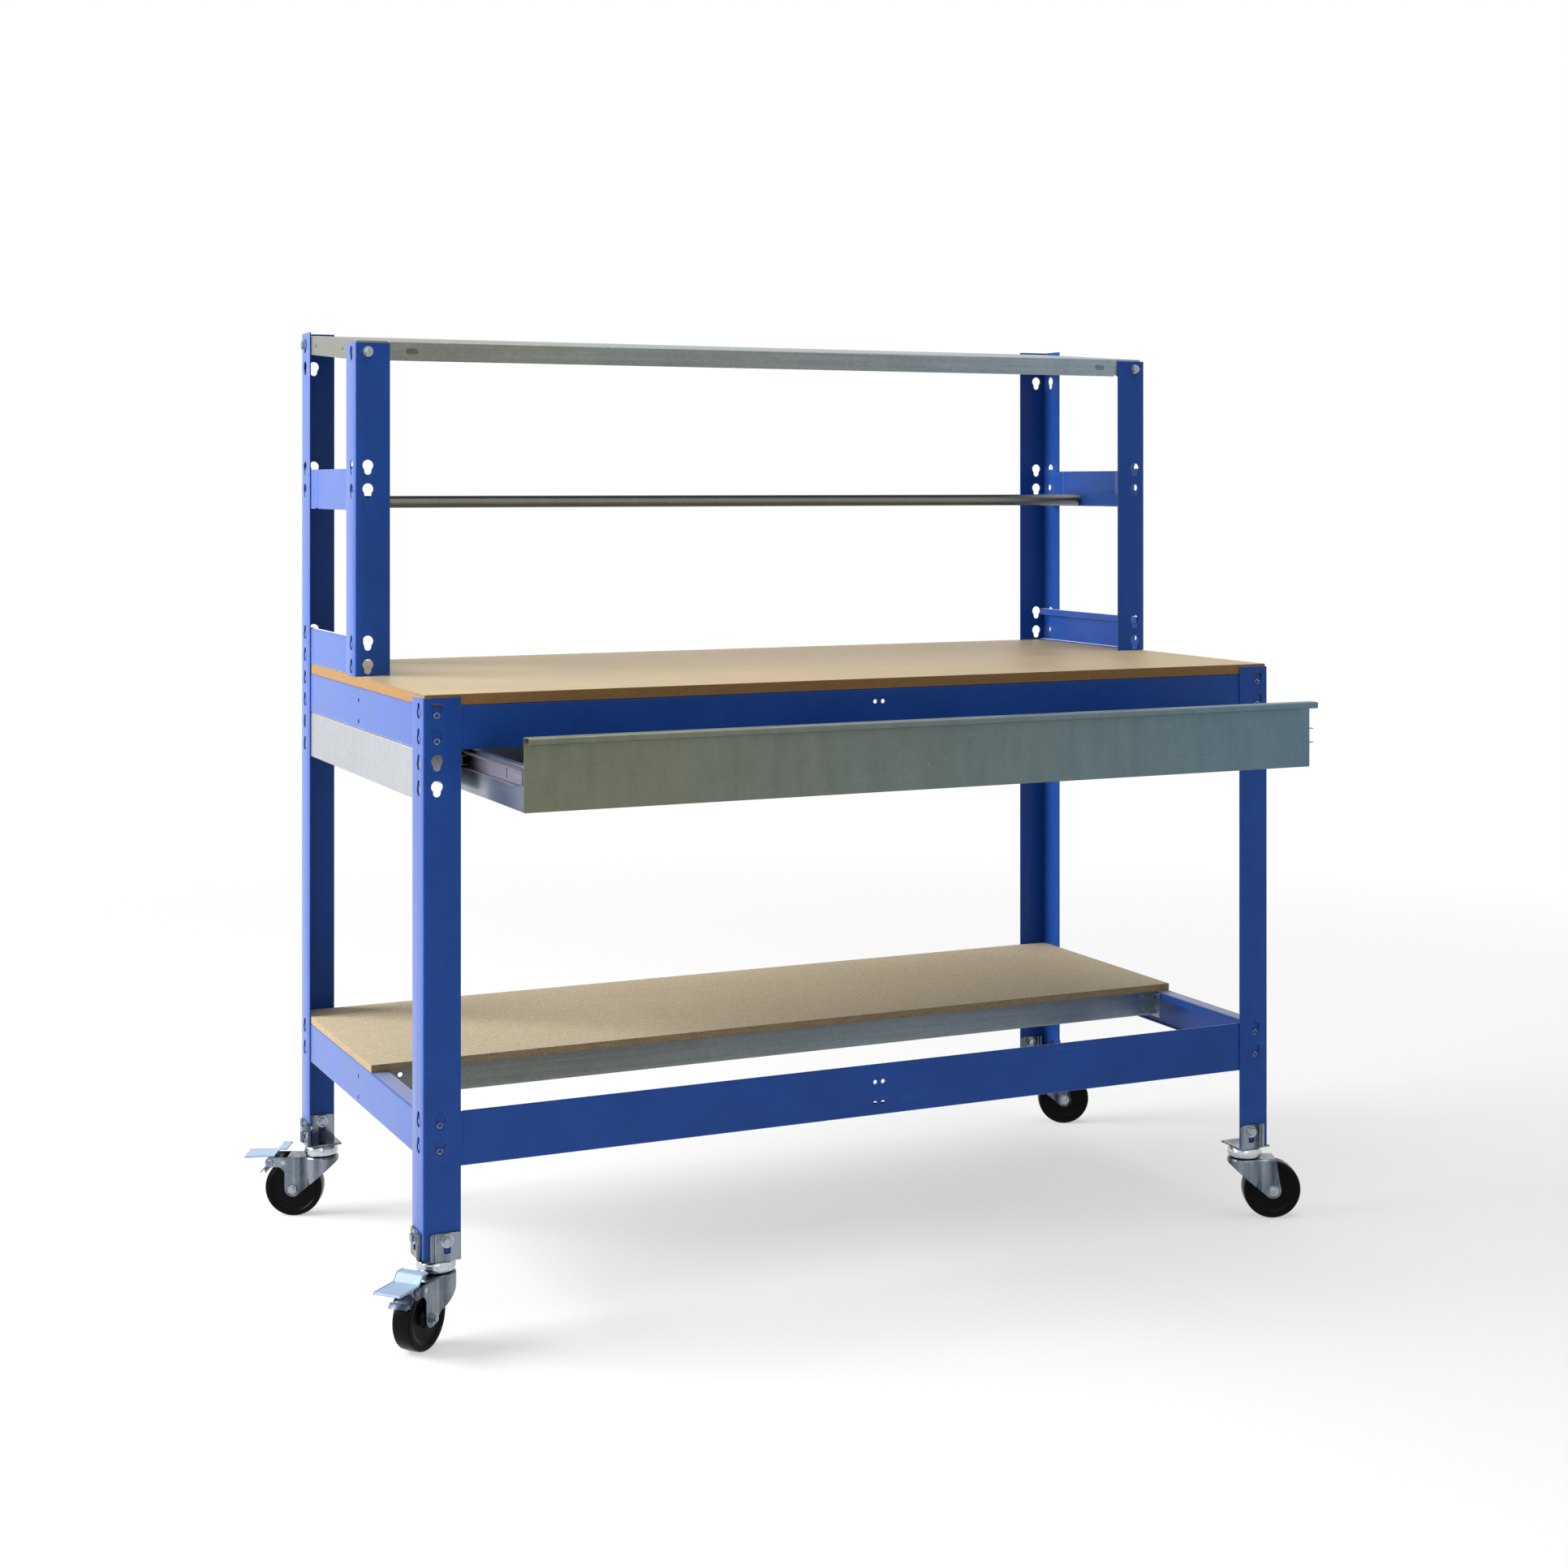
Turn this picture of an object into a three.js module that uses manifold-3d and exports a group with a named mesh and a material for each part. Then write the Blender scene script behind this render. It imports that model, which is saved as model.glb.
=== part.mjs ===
// Mobile packing workbench: a boltless steel frame on swivel casters, with a drawer,
// a lower shelf, a roll bar and a sloping top shelf.
// Millimetres. X runs from left to right, Y from front to back, Z up from the floor.
import * as THREE from "three";
import { mergeVertices } from "three/addons/utils/BufferGeometryUtils.js";
import Module from "manifold-3d";

// Clearances
const seatGap = 0.3; // between two pieces that touch
const cutOverrun = 1; // how far a cutting tool passes the face that it cuts

// Frame
const frameWidth = 1520;
const frameDepth = 750;
const legHeight = 835;
const upperPostLength = 544.5;
const upperSetback = 387.5; // front of the upper posts, behind the front of the frame
const rearRise = 33.5; // the rear posts stand this much taller than the upper front posts

// Posts
const postFlange = 58;
const postWall = 2;
const postBend = 3;

// Keyholes in the posts
const keyholeRadius = 9;
const keyholeSlotWidth = 12;
const keyholeReach = 9.5; // from the centre of the round to the centre of the slot's end
const keyholePitch = 38.5;
const keyholeDrop = 5; // first round below the top of the beam that hangs there
const frontKeyholeInset = 21;
const lowerKeyholeInset = 26; // in the rows of the lower beams
const sideKeyholeInset = 25;
const worktopKeyholes = 4;
const beamKeyholes = 2;

// Studs on the beams, which hang in the keyholes
const studClearance = 1.1;
const studRadius = keyholeSlotWidth / 2 - studClearance;
const studRecess = 0.5; // from the outer face of the post to the end of a stud
const windowRadius = 6; // hole in the beam behind the round of an upright keyhole
const windowRise = 1;
const smallWindowRadius = 4.5; // behind the slot of an inverted keyhole

// Beams
const beamHeight = 67;
const frontLowerBeamHeight = 82;
const beamWall = 1.5;
const beamFlange = 30;
const beamLip = 12;
const beamFoot = 6;
const beamHoleRadius = 3.5; // at the middle of each beam
const beamHoleRun = 14;
const beamHoleRise = 34;
const beamHoleDrop = 4.5; // middle of these holes below the middle of the beam
const cornerClearance = 2; // between a beam's end and the wall that crosses it
const lowerBeamTop = 213.5; // above the feet of the legs
const frontLowerBeamRise = 3; // top of the front lower beam above the tops of the others
const frontLowerBeamReturn = 3; // fold at its top; its wide flange is at the bottom

// Boards
const boardThickness = 16;
const boardProud = 4.5; // top of the worktop above the tops of the front legs
const boardGap = 0.5;
const shelfThickness = 12;
const shelfSetback = 300;
const crossBeamHeight = 46;
const crossBeamFlange = 20;
const crossBeamFoot = 12;
const crossBeamTab = 30;
const tabHoleRadius = 4;
const tabHolePitch = 24;
const webHoleInset = 22; // from the fold of the tab

// Rails of the upper frame
const upperRailHeight = 62;
const upperRailFlange = 12;
const rollRailBottom = 270.5; // above the feet of the upper posts
const rollRailHeight = 68;
const rollRailEar = 4;
const rollRailJoggle = 5;
const rollRailPlate = 76; // from the face of a post to the joggle
const rollRailTrough = 27;
const rollRailLip = 23;
const rollTroughSetback = 36; // from the face of a post to the end of the trough
const rollKeyholeRise = 5.5; // first round above the top of the roll rail
const joggleRun = 12;

// Roll bar
const rollBarRadius = 10.5;
const rollBarBore = 8.5;
const rollBarEndGap = 3;

// Top shelf
const shelfSheet = 1.5;
const topShelfFlange = 32;
const topShelfProud = 3.3; // front edge above the tops of the upper posts
const topShelfRearDrop = 3; // rear edge below the tops of the rear posts
const flangeMitre = 5;
const flangeInset = 56.5; // top corner of a long flange, from the side of the frame
const flangeSlit = 0.5; // between a long flange and the corner beside it
const shelfSideGap = 2.5; // the shelf is narrower than its posts allow by this much a side
const shelfShift = 2.5; // and lies this much to the left
const shelfBoltDrop = 17.8;
const shelfBoltRise = 1; // first round above the shelf's bolt
const shelfBoltHole = 5.5;
const shelfSlotLength = 21;
const shelfSlotWidth = 9.5;
const shelfSlotInset = 96;
const shelfPostHole = 5; // in the front face of the upper posts
const shelfSideHole = 3;
const shelfSideHoleInset = 88;

// Bolts
const boltRadius = 4;
const boltWasherRadius = 8.6;
const wideWasherRadius = 10;
const boltWasherThickness = 1.4;
const boltHexRadius = 7.4;
const boltHexHeight = 5.2;
const boltTail = 3;

// Drawer
const drawerOpening = 225;
const drawerMargin = 80;
const drawerFrontHeight = 108;
const drawerSideHeight = 67;
const drawerDepth = 575;
const drawerSheet = 1.2;
const drawerHeadroom = 1.5;
const drawerFrontGap = 1.2; // closed front panel to the front beam
const drawerFrontCorner = 2;
const drawerRim = 10;
const pullReach = 23;
const pullDrop = 10.5;
const pullCorner = 3.5;
const pullReturn = 7;

// Drawer slides
const slideLength = 530;
const slideSetback = 22; // front of the fixed rail, behind the front of the frame
const channelLength = 545;
const channelSetback = 5; // front of the channel, behind the front of the drawer
const slideDrop = 4.5; // top of the slide below the rim of the drawer
const channelHeight = 24;
const channelReach = 11.5;
const slideWall = 1.2;
const ballRadius = 1.5;
const ballClearance = 0.15;
const ballPitch = 26;
const ballsPerCage = 4;
const cageWall = 0.8;
const cageInset = 2.4;
const railReach = 9.5;
const railRunGap = 1;
const supportDepth = 76;
const supportInnerDepth = 64;
const supportNotch = 20;
const slotHeight = 14;
const slotWidth = 3;
const slotInset = 70;

// Casters
const wheelRadius = 50;
const wheelWidth = 32;
const wheelEdge = 3;
const wheelRim = 8;
const wheelDish = 4;
const hubRadius = 14;
const hubWidth = 37;
const axleRadius = 5;
const axleClearance = 0.4;
const trail = 46;
const swivelInset = 28.25; // swivel axis from the outer faces of the leg
const swivelHeight = 125.5; // floor to the underside of the bracket
const forkTop = 104.5;
const forkWall = 2.5;
const forkInside = 40;
const forkHeadRadius = 30;
const forkBoss = 14;
const forkNose = 7.5;
const forkTailReach = 10;
const forkEarReach = 94;
const forkEarHeight = 17;
const forkEarStep = 16;
const rivetRadius = 4;
const rivetHeight = 1.5;
const kingpinRadius = 8;
const kingpinHead = 12;
const kingpinHeadThickness = 2.6;
const domeRadius = 29.5;
const domeFoot = 23;
const domeNeck = 17;
const domeBellyShare = 0.4; // level of its widest place
const axleHexRadius = 8.2;
const axleHexHeight = 6.5;
const axleTail = 3;

// Caster brackets
const bracketWall = 2.5;
const bracketHeight = 39;
const bracketReach = 57.5; // from the corner of the leg
const bracketCornerGap = 9;
const bracketRib = 2.6;
const bracketRibPitch = 7;
const bracketRibs = 2;
const bracketBoltInset = 36;
const bracketBoltHeight = 27;
const bracketSlotWidth = 11;
const bracketSlotCorner = 3;
const bracketSlotBottom = 8;
const bracketHole = 4.6;
const bracketCorner = 5;

// Brake pedals
const pedalWidth = 46;
const pedalWall = 2.5;
const pedalPivotReach = 84;
const pedalPivotHeight = 96.5;
const pedalPinRadius = 3.5;
const pedalPinClearance = 0.4;
const pedalTipReach = 131;
const pedalHeel = 55;
const pedalHeelTop = 120;
const pedalStep = 12;
const pedalStepReach = 71;
const pedalRamp = 10;
const pedalTipDrop = 1;
const pedalCheekGap = 1;
const pedalPress = 8; // degrees
const shoeWidth = 32;
const shoeWall = 2;
const shoeClearance = 0.8; // to the wheel when the pedal is pressed
const shoeStart = 47; // degrees round the wheel
const shoeEnd = 29;
const shoeCrestReach = 97;
const shoeCrestHeight = 83.5;
const shoeTipReach = 103.5;
const shoeTipHeight = 76.5;

// Which way each wheel trails, in degrees from +X
const trailAngles = { front_left: 220.3, front_right: -24.9, rear_left: 155, rear_right: -24.9 };

// Facets
const bendSteps = 3;
const keyholeArcSteps = 5;
const keyholeEndSteps = 3;
const studSides = 8;
const hexSides = 6;
const boltSides = 8;
const washerSides = 12;
const tubeSides = 16;
const wheelSides = 20;
const domeSides = 14;
const domeSteps = 6;
const forkHeadSteps = 9;
const bossSteps = 5;
const shoeSteps = 2;
const ballSteps = 6;
const slotSteps = 4;

const quarterTurn = Math.PI / 2;
const fullTurn = Math.PI * 2;

// Levels, measured up from the feet of the legs
const footHeight = swivelHeight + bracketWall + seatGap;
const worktopTop = legHeight + boardProud;
const worktopBottom = worktopTop - boardThickness;
const beamTop = worktopBottom - seatGap;
const beamBottom = beamTop - beamHeight;
const upperFoot = worktopTop + seatGap;
const upperPostTop = upperFoot + upperPostLength;
const rearPostTop = upperPostTop + rearRise;
const rollRailTop = upperFoot + rollRailBottom + rollRailHeight;
const shelfFrontZ = upperPostTop + topShelfProud;
const shelfRearZ = rearPostTop - topShelfRearDrop;
const innerFace = postWall + seatGap; // where a beam's outer face lies behind a post's outer face
const beamEndInset = innerFace + beamWall + cornerClearance;
const flangeNotch = postFlange + cornerClearance * 2;
const upperDepth = frameDepth - upperSetback;

// Materials
function material(color, roughness, metalness) {
  return new THREE.MeshStandardMaterial({ color, roughness, metalness, flatShading: true });
}

const bluePaint = material(0x2450a0, 0.4, 0.1);
const galvanised = material(0x9aa3a5, 0.45, 0.85);
const zincPlate = material(0xc0c4c8, 0.25, 0.95);
const greySteel = material(0x70706e, 0.4, 0.8);
const hardboard = material(0x9c7c4c, 0.7, 0);
const chipboard = material(0xb8a888, 0.85, 0);
const blackPlastic = material(0x141416, 0.35, 0);
const pedalPaint = material(0x94aecb, 0.35, 0.1);

// Outlines are lists of points, and arc gives the points of a round stretch.
const point = (a, b) => new THREE.Vector2(a, b);

function arc(a, b, radius, start, end, steps) {
  return Array.from({ length: steps + 1 }, (_, i) => {
    const angle = start + ((end - start) * i) / steps;
    return point(a + radius * Math.cos(angle), b + radius * Math.sin(angle));
  });
}

function circle(a, b, radius, sides) {
  return arc(a, b, radius, 0, fullTurn, sides).slice(0, sides);
}

function rectangle(a0, a1, b0, b1) {
  return [point(a0, b0), point(a1, b0), point(a1, b1), point(a0, b1)];
}

// The outline of a folded sheet, from the path of its middle and its thickness
function ribbon(path, thickness) {
  const normals = path.slice(1).map((p, i) => {
    const along = p.clone().sub(path[i]).normalize();
    return point(-along.y, along.x);
  });
  const edge = (side) =>
    path.map((p, i) => {
      const before = normals[Math.max(i - 1, 0)];
      const after = normals[Math.min(i, normals.length - 1)];
      const mitre = before.clone().add(after).normalize();
      return p.clone().addScaledVector(mitre, (side * thickness) / 2 / mitre.dot(before));
    });
  return [...edge(1), ...edge(-1).reverse()];
}

// Two numbers on either side of the middle, in rising order
function span(side, first, second) {
  return [side * first, side * second].sort((a, b) => a - b);
}

// A prism along an axis. The outline is in (y, z) along x, in (x, z) along y and in (x, y) along z.
const unitX = new THREE.Vector3(1, 0, 0);
const unitY = new THREE.Vector3(0, 1, 0);
const unitZ = new THREE.Vector3(0, 0, 1);

function prism(axis, outline, from, to) {
  const geometry = new THREE.ExtrudeGeometry(new THREE.Shape(outline), { depth: to - from, bevelEnabled: false });
  geometry.translate(0, 0, axis === "y" ? -to : from);
  const turn = new THREE.Matrix4();
  if (axis === "x") turn.makeBasis(unitY, unitZ, unitX);
  if (axis === "y") turn.makeBasis(unitX, unitZ, unitY.clone().negate());
  return geometry.applyMatrix4(turn);
}

// A solid of revolution about Z, from its profile in (radius, z).
function revolved(profile, sides) {
  return new THREE.LatheGeometry(profile, sides).rotateX(quarterTurn);
}

// Cuts and joins
const wasm = await Module();
wasm.setup();

function toSolid(geometry) {
  const bare = geometry.clone();
  bare.deleteAttribute("normal");
  bare.deleteAttribute("uv");
  const merged = mergeVertices(bare);
  const vertProperties = new Float32Array(merged.attributes.position.array);
  const triVerts = new Uint32Array(merged.index.array);
  return new wasm.Manifold(new wasm.Mesh({ numProp: 3, vertProperties, triVerts }));
}

function toGeometry(solid) {
  const mesh = solid.getMesh();
  const geometry = new THREE.BufferGeometry();
  const positions = new Float32Array(mesh.numVert * 3);
  for (let i = 0; i < mesh.numVert; i += 1) {
    positions.set(mesh.vertProperties.subarray(i * mesh.numProp, i * mesh.numProp + 3), i * 3);
  }
  geometry.setAttribute("position", new THREE.BufferAttribute(positions, 3));
  geometry.setIndex(new THREE.BufferAttribute(new Uint32Array(mesh.triVerts), 1));
  geometry.computeVertexNormals();
  return geometry;
}

function joined(...geometries) {
  return toGeometry(geometries.map(toSolid).reduce((whole, part) => whole.add(part)));
}

function cut(geometry, ...tools) {
  return toGeometry(tools.map(toSolid).reduce((whole, tool) => whole.subtract(tool), toSolid(geometry)));
}

function common(first, second) {
  return toGeometry(toSolid(first).intersect(toSolid(second)));
}

// Posts

function lOutline() {
  return [
    point(postFlange, 0),
    point(postFlange, postWall),
    point(postWall, postWall),
    point(postWall, postFlange),
    point(0, postFlange),
    ...arc(postBend, postBend, postBend, Math.PI, Math.PI + quarterTurn, bendSteps),
  ];
}

// A keyhole's outline: a round with a slot below it, or the same shape turned upside down.
function keyholeOutline(inset, level, inverted) {
  const slotHalf = keyholeSlotWidth / 2;
  const middle = (keyholeRadius - keyholeReach - slotHalf) / 2;
  const shoulder = Math.acos(slotHalf / keyholeRadius);
  const upright = [
    ...arc(0, 0, keyholeRadius, -shoulder, Math.PI + shoulder, keyholeArcSteps),
    ...arc(0, -keyholeReach, slotHalf, Math.PI, fullTurn, keyholeEndSteps),
  ];
  if (!inverted) return upright.map((p) => point(inset + p.x, level + p.y));
  return upright.map((p) => point(inset + p.x, level + middle * 2 - p.y));
}

const keyholeMiddle = (keyholeRadius - keyholeReach - keyholeSlotWidth / 2) / 2;

// The outer corner of a post is at the origin, and its flanges run along +X and +Y. Each row of
// keyholes has the level of its first round, its count, whether the side flange's are inverted,
// the front flange's inset, and whether a plain bolt hole stands for the front flange's.
function postGeometry(length, rows) {
  const tools = rows.flatMap(({ level, count, inverted, inset = frontKeyholeInset, bolted }) =>
    Array.from({ length: count }, (_, i) => level - i * keyholePitch).flatMap((z) => {
      const front = bolted
        ? circle(inset, z - shelfBoltRise, shelfPostHole, washerSides)
        : keyholeOutline(inset, z, false);
      return [
        prism("y", front, -cutOverrun, postWall + cutOverrun),
        prism("x", keyholeOutline(sideKeyholeInset, z, inverted), -cutOverrun, postWall + cutOverrun),
      ];
    }),
  );
  return cut(prism("z", lOutline(), 0, length), ...tools);
}

function footHoles() {
  const outline = circle(bracketBoltInset, bracketBoltHeight, bracketHole, boltSides);
  return [
    prism("y", outline, -cutOverrun, postWall + cutOverrun),
    prism("x", outline, -cutOverrun, postWall + cutOverrun),
  ];
}

const worktopRow = { level: beamTop - keyholeDrop, count: worktopKeyholes, inverted: true };
const lowerRow = {
  level: lowerBeamTop - keyholeDrop,
  count: beamKeyholes,
  inverted: true,
  inset: lowerKeyholeInset,
};
const upperRow = {
  level: upperFoot + upperRailHeight - keyholeDrop,
  count: beamKeyholes,
  inverted: true,
};
const rollRow = { level: rollRailTop + rollKeyholeRise, count: beamKeyholes, inverted: false };
const rearTopRow = {
  level: shelfRearZ - shelfBoltDrop + shelfBoltRise,
  count: beamKeyholes,
  inverted: false,
};
const frontTopRow = {
  level: shelfFrontZ - shelfBoltDrop + shelfBoltRise,
  count: 1,
  inverted: false,
  bolted: true,
};

function above(base, rows) {
  return rows.map((row) => ({ ...row, level: row.level - base }));
}

const legGeometry = cut(postGeometry(legHeight, [worktopRow, lowerRow]), ...footHoles());
const rearPostGeometry = cut(
  postGeometry(rearPostTop, [rearTopRow, rollRow, upperRow, worktopRow, lowerRow]),
  ...footHoles(),
);
const upperPostGeometry = postGeometry(upperPostLength, above(upperFoot, [frontTopRow, rollRow, upperRow]));

// Beams
// A beam lies along X with its outer face at y = 0, its section towards +Y and its top at z = 0.

// The studs at both ends of a beam end inside the wall of the post. Each hangs in the foot of an
// upright keyhole, or lies in the round of an inverted one.
function atKeyholes(span, inset, firstRound, make) {
  return [-1, 1].flatMap((side) =>
    Array.from({ length: beamKeyholes }, (_, i) =>
      make(side * (span / 2 - inset), firstRound - i * keyholePitch),
    ),
  );
}

function studs(span, inset, firstRound, inverted) {
  const depth = inverted ? keyholeMiddle * 2 : -keyholeReach;
  return atKeyholes(span, inset, firstRound, (x, z) =>
    prism("y", circle(x, z + depth, studRadius, studSides), studRecess - seatGap - postWall, beamWall / 2),
  );
}

// Holes in the beam beside the studs
function windows(span, inset, firstRound, inverted) {
  const rise = inverted ? keyholeMiddle * 2 + keyholeReach : windowRise;
  const radius = inverted ? smallWindowRadius : windowRadius;
  return atKeyholes(span, inset, firstRound, (x, z) =>
    prism("y", circle(x, z + rise, radius, washerSides), -cutOverrun, beamWall + cutOverrun),
  );
}

// Two rows of holes at the middle of a beam, in the given columns
function middleHoles(height, columns) {
  return columns.flatMap((x) =>
    [-1, 1].map((row) => {
      const level = -height / 2 - beamHoleDrop + (row * beamHoleRise) / 2;
      return prism("y", circle(x, level, beamHoleRadius, boltSides), -cutOverrun, beamWall + cutOverrun);
    }),
  );
}

function channelOutline(height, flange, lip, foot) {
  return [
    point(0, 0),
    point(flange, 0),
    point(flange, -lip),
    point(flange - beamWall, -lip),
    point(flange - beamWall, -beamWall),
    point(beamWall, -beamWall),
    point(beamWall, beamWall - height),
    point(foot, beamWall - height),
    point(foot, -height),
    point(0, -height),
  ];
}

function beamGeometry({ length, height, outline, notch = 0, inset, drop = keyholeDrop, inverted, columns }) {
  const half = length / 2 - beamEndInset;
  const flanged = length / 2 - Math.max(notch, beamEndInset);
  const plates = joined(
    prism("x", outline, -flanged, flanged),
    prism("x", rectangle(0, beamWall, -height, 0), -half, half),
  );
  const tools = [...windows(length, inset, -drop, inverted), ...middleHoles(height, columns)];
  return joined(cut(plates, ...tools), ...studs(length, inset, -drop, inverted));
}

const beamOutline = channelOutline(beamHeight, beamFlange, beamLip, beamFoot);
const frontLowerOutline = channelOutline(frontLowerBeamHeight, beamFlange, beamLip, frontLowerBeamReturn)
  .map((p) => point(p.x, -frontLowerBeamHeight - p.y))
  .reverse();
const longBeam = {
  length: frameWidth,
  height: beamHeight,
  outline: beamOutline,
  notch: flangeNotch,
  inset: frontKeyholeInset,
  inverted: false,
  columns: [-beamHoleRun / 2, beamHoleRun / 2],
};
const worktopBeam = beamGeometry(longBeam);
const rearLowerBeam = beamGeometry({ ...longBeam, inset: lowerKeyholeInset });
const frontLowerBeam = beamGeometry({
  ...longBeam,
  height: frontLowerBeamHeight,
  outline: frontLowerOutline,
  inset: lowerKeyholeInset,
  drop: keyholeDrop + frontLowerBeamRise,
});
const sideBeam = beamGeometry({
  length: frameDepth,
  height: beamHeight,
  outline: beamOutline,
  inset: sideKeyholeInset,
  inverted: true,
  columns: [0],
});

// Rails of the upper frame, made like the beams

function upperRailGeometry() {
  const half = upperDepth / 2 - postWall - cornerClearance;
  const outline = channelOutline(upperRailHeight, upperRailFlange, upperRailFlange, upperRailFlange);
  const tools = windows(upperDepth, sideKeyholeInset, -keyholeDrop, true);
  return joined(
    cut(prism("x", outline, -half, half), ...tools),
    ...studs(upperDepth, sideKeyholeInset, -keyholeDrop, true),
  );
}

// The roll rail's web steps in behind its end plates, and its foot turns up into a trough
// with a notch that the roll bar lies in.
function rollRailGeometry() {
  const end = upperDepth / 2 - postWall - cornerClearance;
  const plate = upperDepth / 2 - rollRailPlate;
  const main = plate - joggleRun;
  const web = [
    point(-end, 0),
    point(-plate, 0),
    point(-main, rollRailJoggle),
    point(main, rollRailJoggle),
    point(plate, 0),
    point(end, 0),
    point(end, beamWall),
    point(plate - beamWall / 2, beamWall),
    point(main - beamWall / 2, rollRailJoggle + beamWall),
    point(beamWall / 2 - main, rollRailJoggle + beamWall),
    point(beamWall / 2 - plate, beamWall),
    point(-end, beamWall),
  ];
  const troughEdge = rollRailJoggle + rollRailTrough;
  const trough = (start) => [
    point(start, -rollRailHeight),
    point(troughEdge, -rollRailHeight),
    point(troughEdge, rollRailLip - rollRailHeight),
    point(troughEdge - beamWall, rollRailLip - rollRailHeight),
    point(troughEdge - beamWall, beamWall - rollRailHeight),
    point(start, beamWall - rollRailHeight),
  ];
  const troughEnd = upperDepth / 2 - rollTroughSetback;
  const ends = [-1, 1].flatMap((side) => [
    prism("x", trough(0), ...span(side, main, troughEnd)),
    prism("x", rectangle(0, beamWall, -rollRailHeight, rollRailEar), ...span(side, end - sideKeyholeInset * 2, end)),
  ]);
  const notchHalf = rollBarRadius + seatGap;
  const notch = prism(
    "y",
    rectangle(-notchHalf, notchHalf, beamWall - rollRailHeight, rollRailLip),
    troughEdge - beamWall - cutOverrun,
    troughEdge + cutOverrun,
  );
  const plates = joined(
    prism("z", web, -rollRailHeight, 0),
    prism("x", trough(rollRailJoggle), -main, main),
    ...ends,
  );
  const lowerWindows = windows(upperDepth, sideKeyholeInset, rollKeyholeRise, false).filter((_, i) => i % 2);
  return joined(
    cut(plates, notch, ...lowerWindows),
    ...studs(upperDepth, sideKeyholeInset, rollKeyholeRise, false),
  );
}

// Lower cross beam, with a folded end tab that lies against the side beam's lip

function crossBeamGeometry() {
  const end = frameWidth / 2 - innerFace - beamFlange - seatGap;
  const outline = channelOutline(crossBeamHeight, crossBeamFlange, crossBeamFoot, crossBeamFoot);
  const levels = [-1, 1].map((row) => -crossBeamHeight / 2 + (row * tabHolePitch) / 2);
  const pieces = [prism("x", outline, -end, end)];
  const holes = [];
  for (const side of [-1, 1]) {
    const [near, far] = span(side, end - beamWall, end);
    pieces.push(prism("x", rectangle(-crossBeamTab, beamWall, -crossBeamHeight, -beamWall), near, far));
    for (const level of levels) {
      const inTab = circle(-crossBeamTab / 2, level, tabHoleRadius, boltSides);
      const inWeb = circle(side * (end - webHoleInset), level, tabHoleRadius, boltSides);
      holes.push(prism("x", inTab, near - cutOverrun, far + cutOverrun));
      holes.push(prism("y", inWeb, -cutOverrun, beamWall + cutOverrun));
    }
  }
  return cut(joined(...pieces), ...holes);
}

// Boards

function boardGeometry(setback, thickness) {
  const edge = innerFace + boardGap;
  const outline = rectangle(
    edge - frameWidth / 2,
    frameWidth / 2 - edge,
    setback - frameDepth / 2,
    frameDepth / 2 - edge,
  );
  return toGeometry(toSolid(prism("z", outline, 0, thickness)));
}

// Top shelf: a sheet with its edges folded down, at y = 0 and z = 0 along its front top edge

const shelfTilt = Math.atan2(shelfRearZ - shelfFrontZ, upperDepth - innerFace * 2);
const shelfDepth =
  (upperDepth - innerFace * 2 - topShelfFlange * Math.sin(shelfTilt)) / Math.cos(shelfTilt);

// The shelf's own middle lies a little to the left of the frame's, and its side flanges are
// these distances behind the outer faces of the posts.
const leftFlangeFace = innerFace + shelfSideGap - shelfShift;
const rightFlangeFace = innerFace + shelfSideGap + shelfShift;

// Where a bolt through the rear post's side flange meets the shelf, along the shelf and down
function sideBoltSpot() {
  const run = upperDepth - innerFace - sideKeyholeInset;
  const rise = shelfRearZ - shelfBoltDrop - shelfFrontZ;
  return point(
    run * Math.cos(shelfTilt) + rise * Math.sin(shelfTilt),
    rise * Math.cos(shelfTilt) - run * Math.sin(shelfTilt),
  );
}

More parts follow.
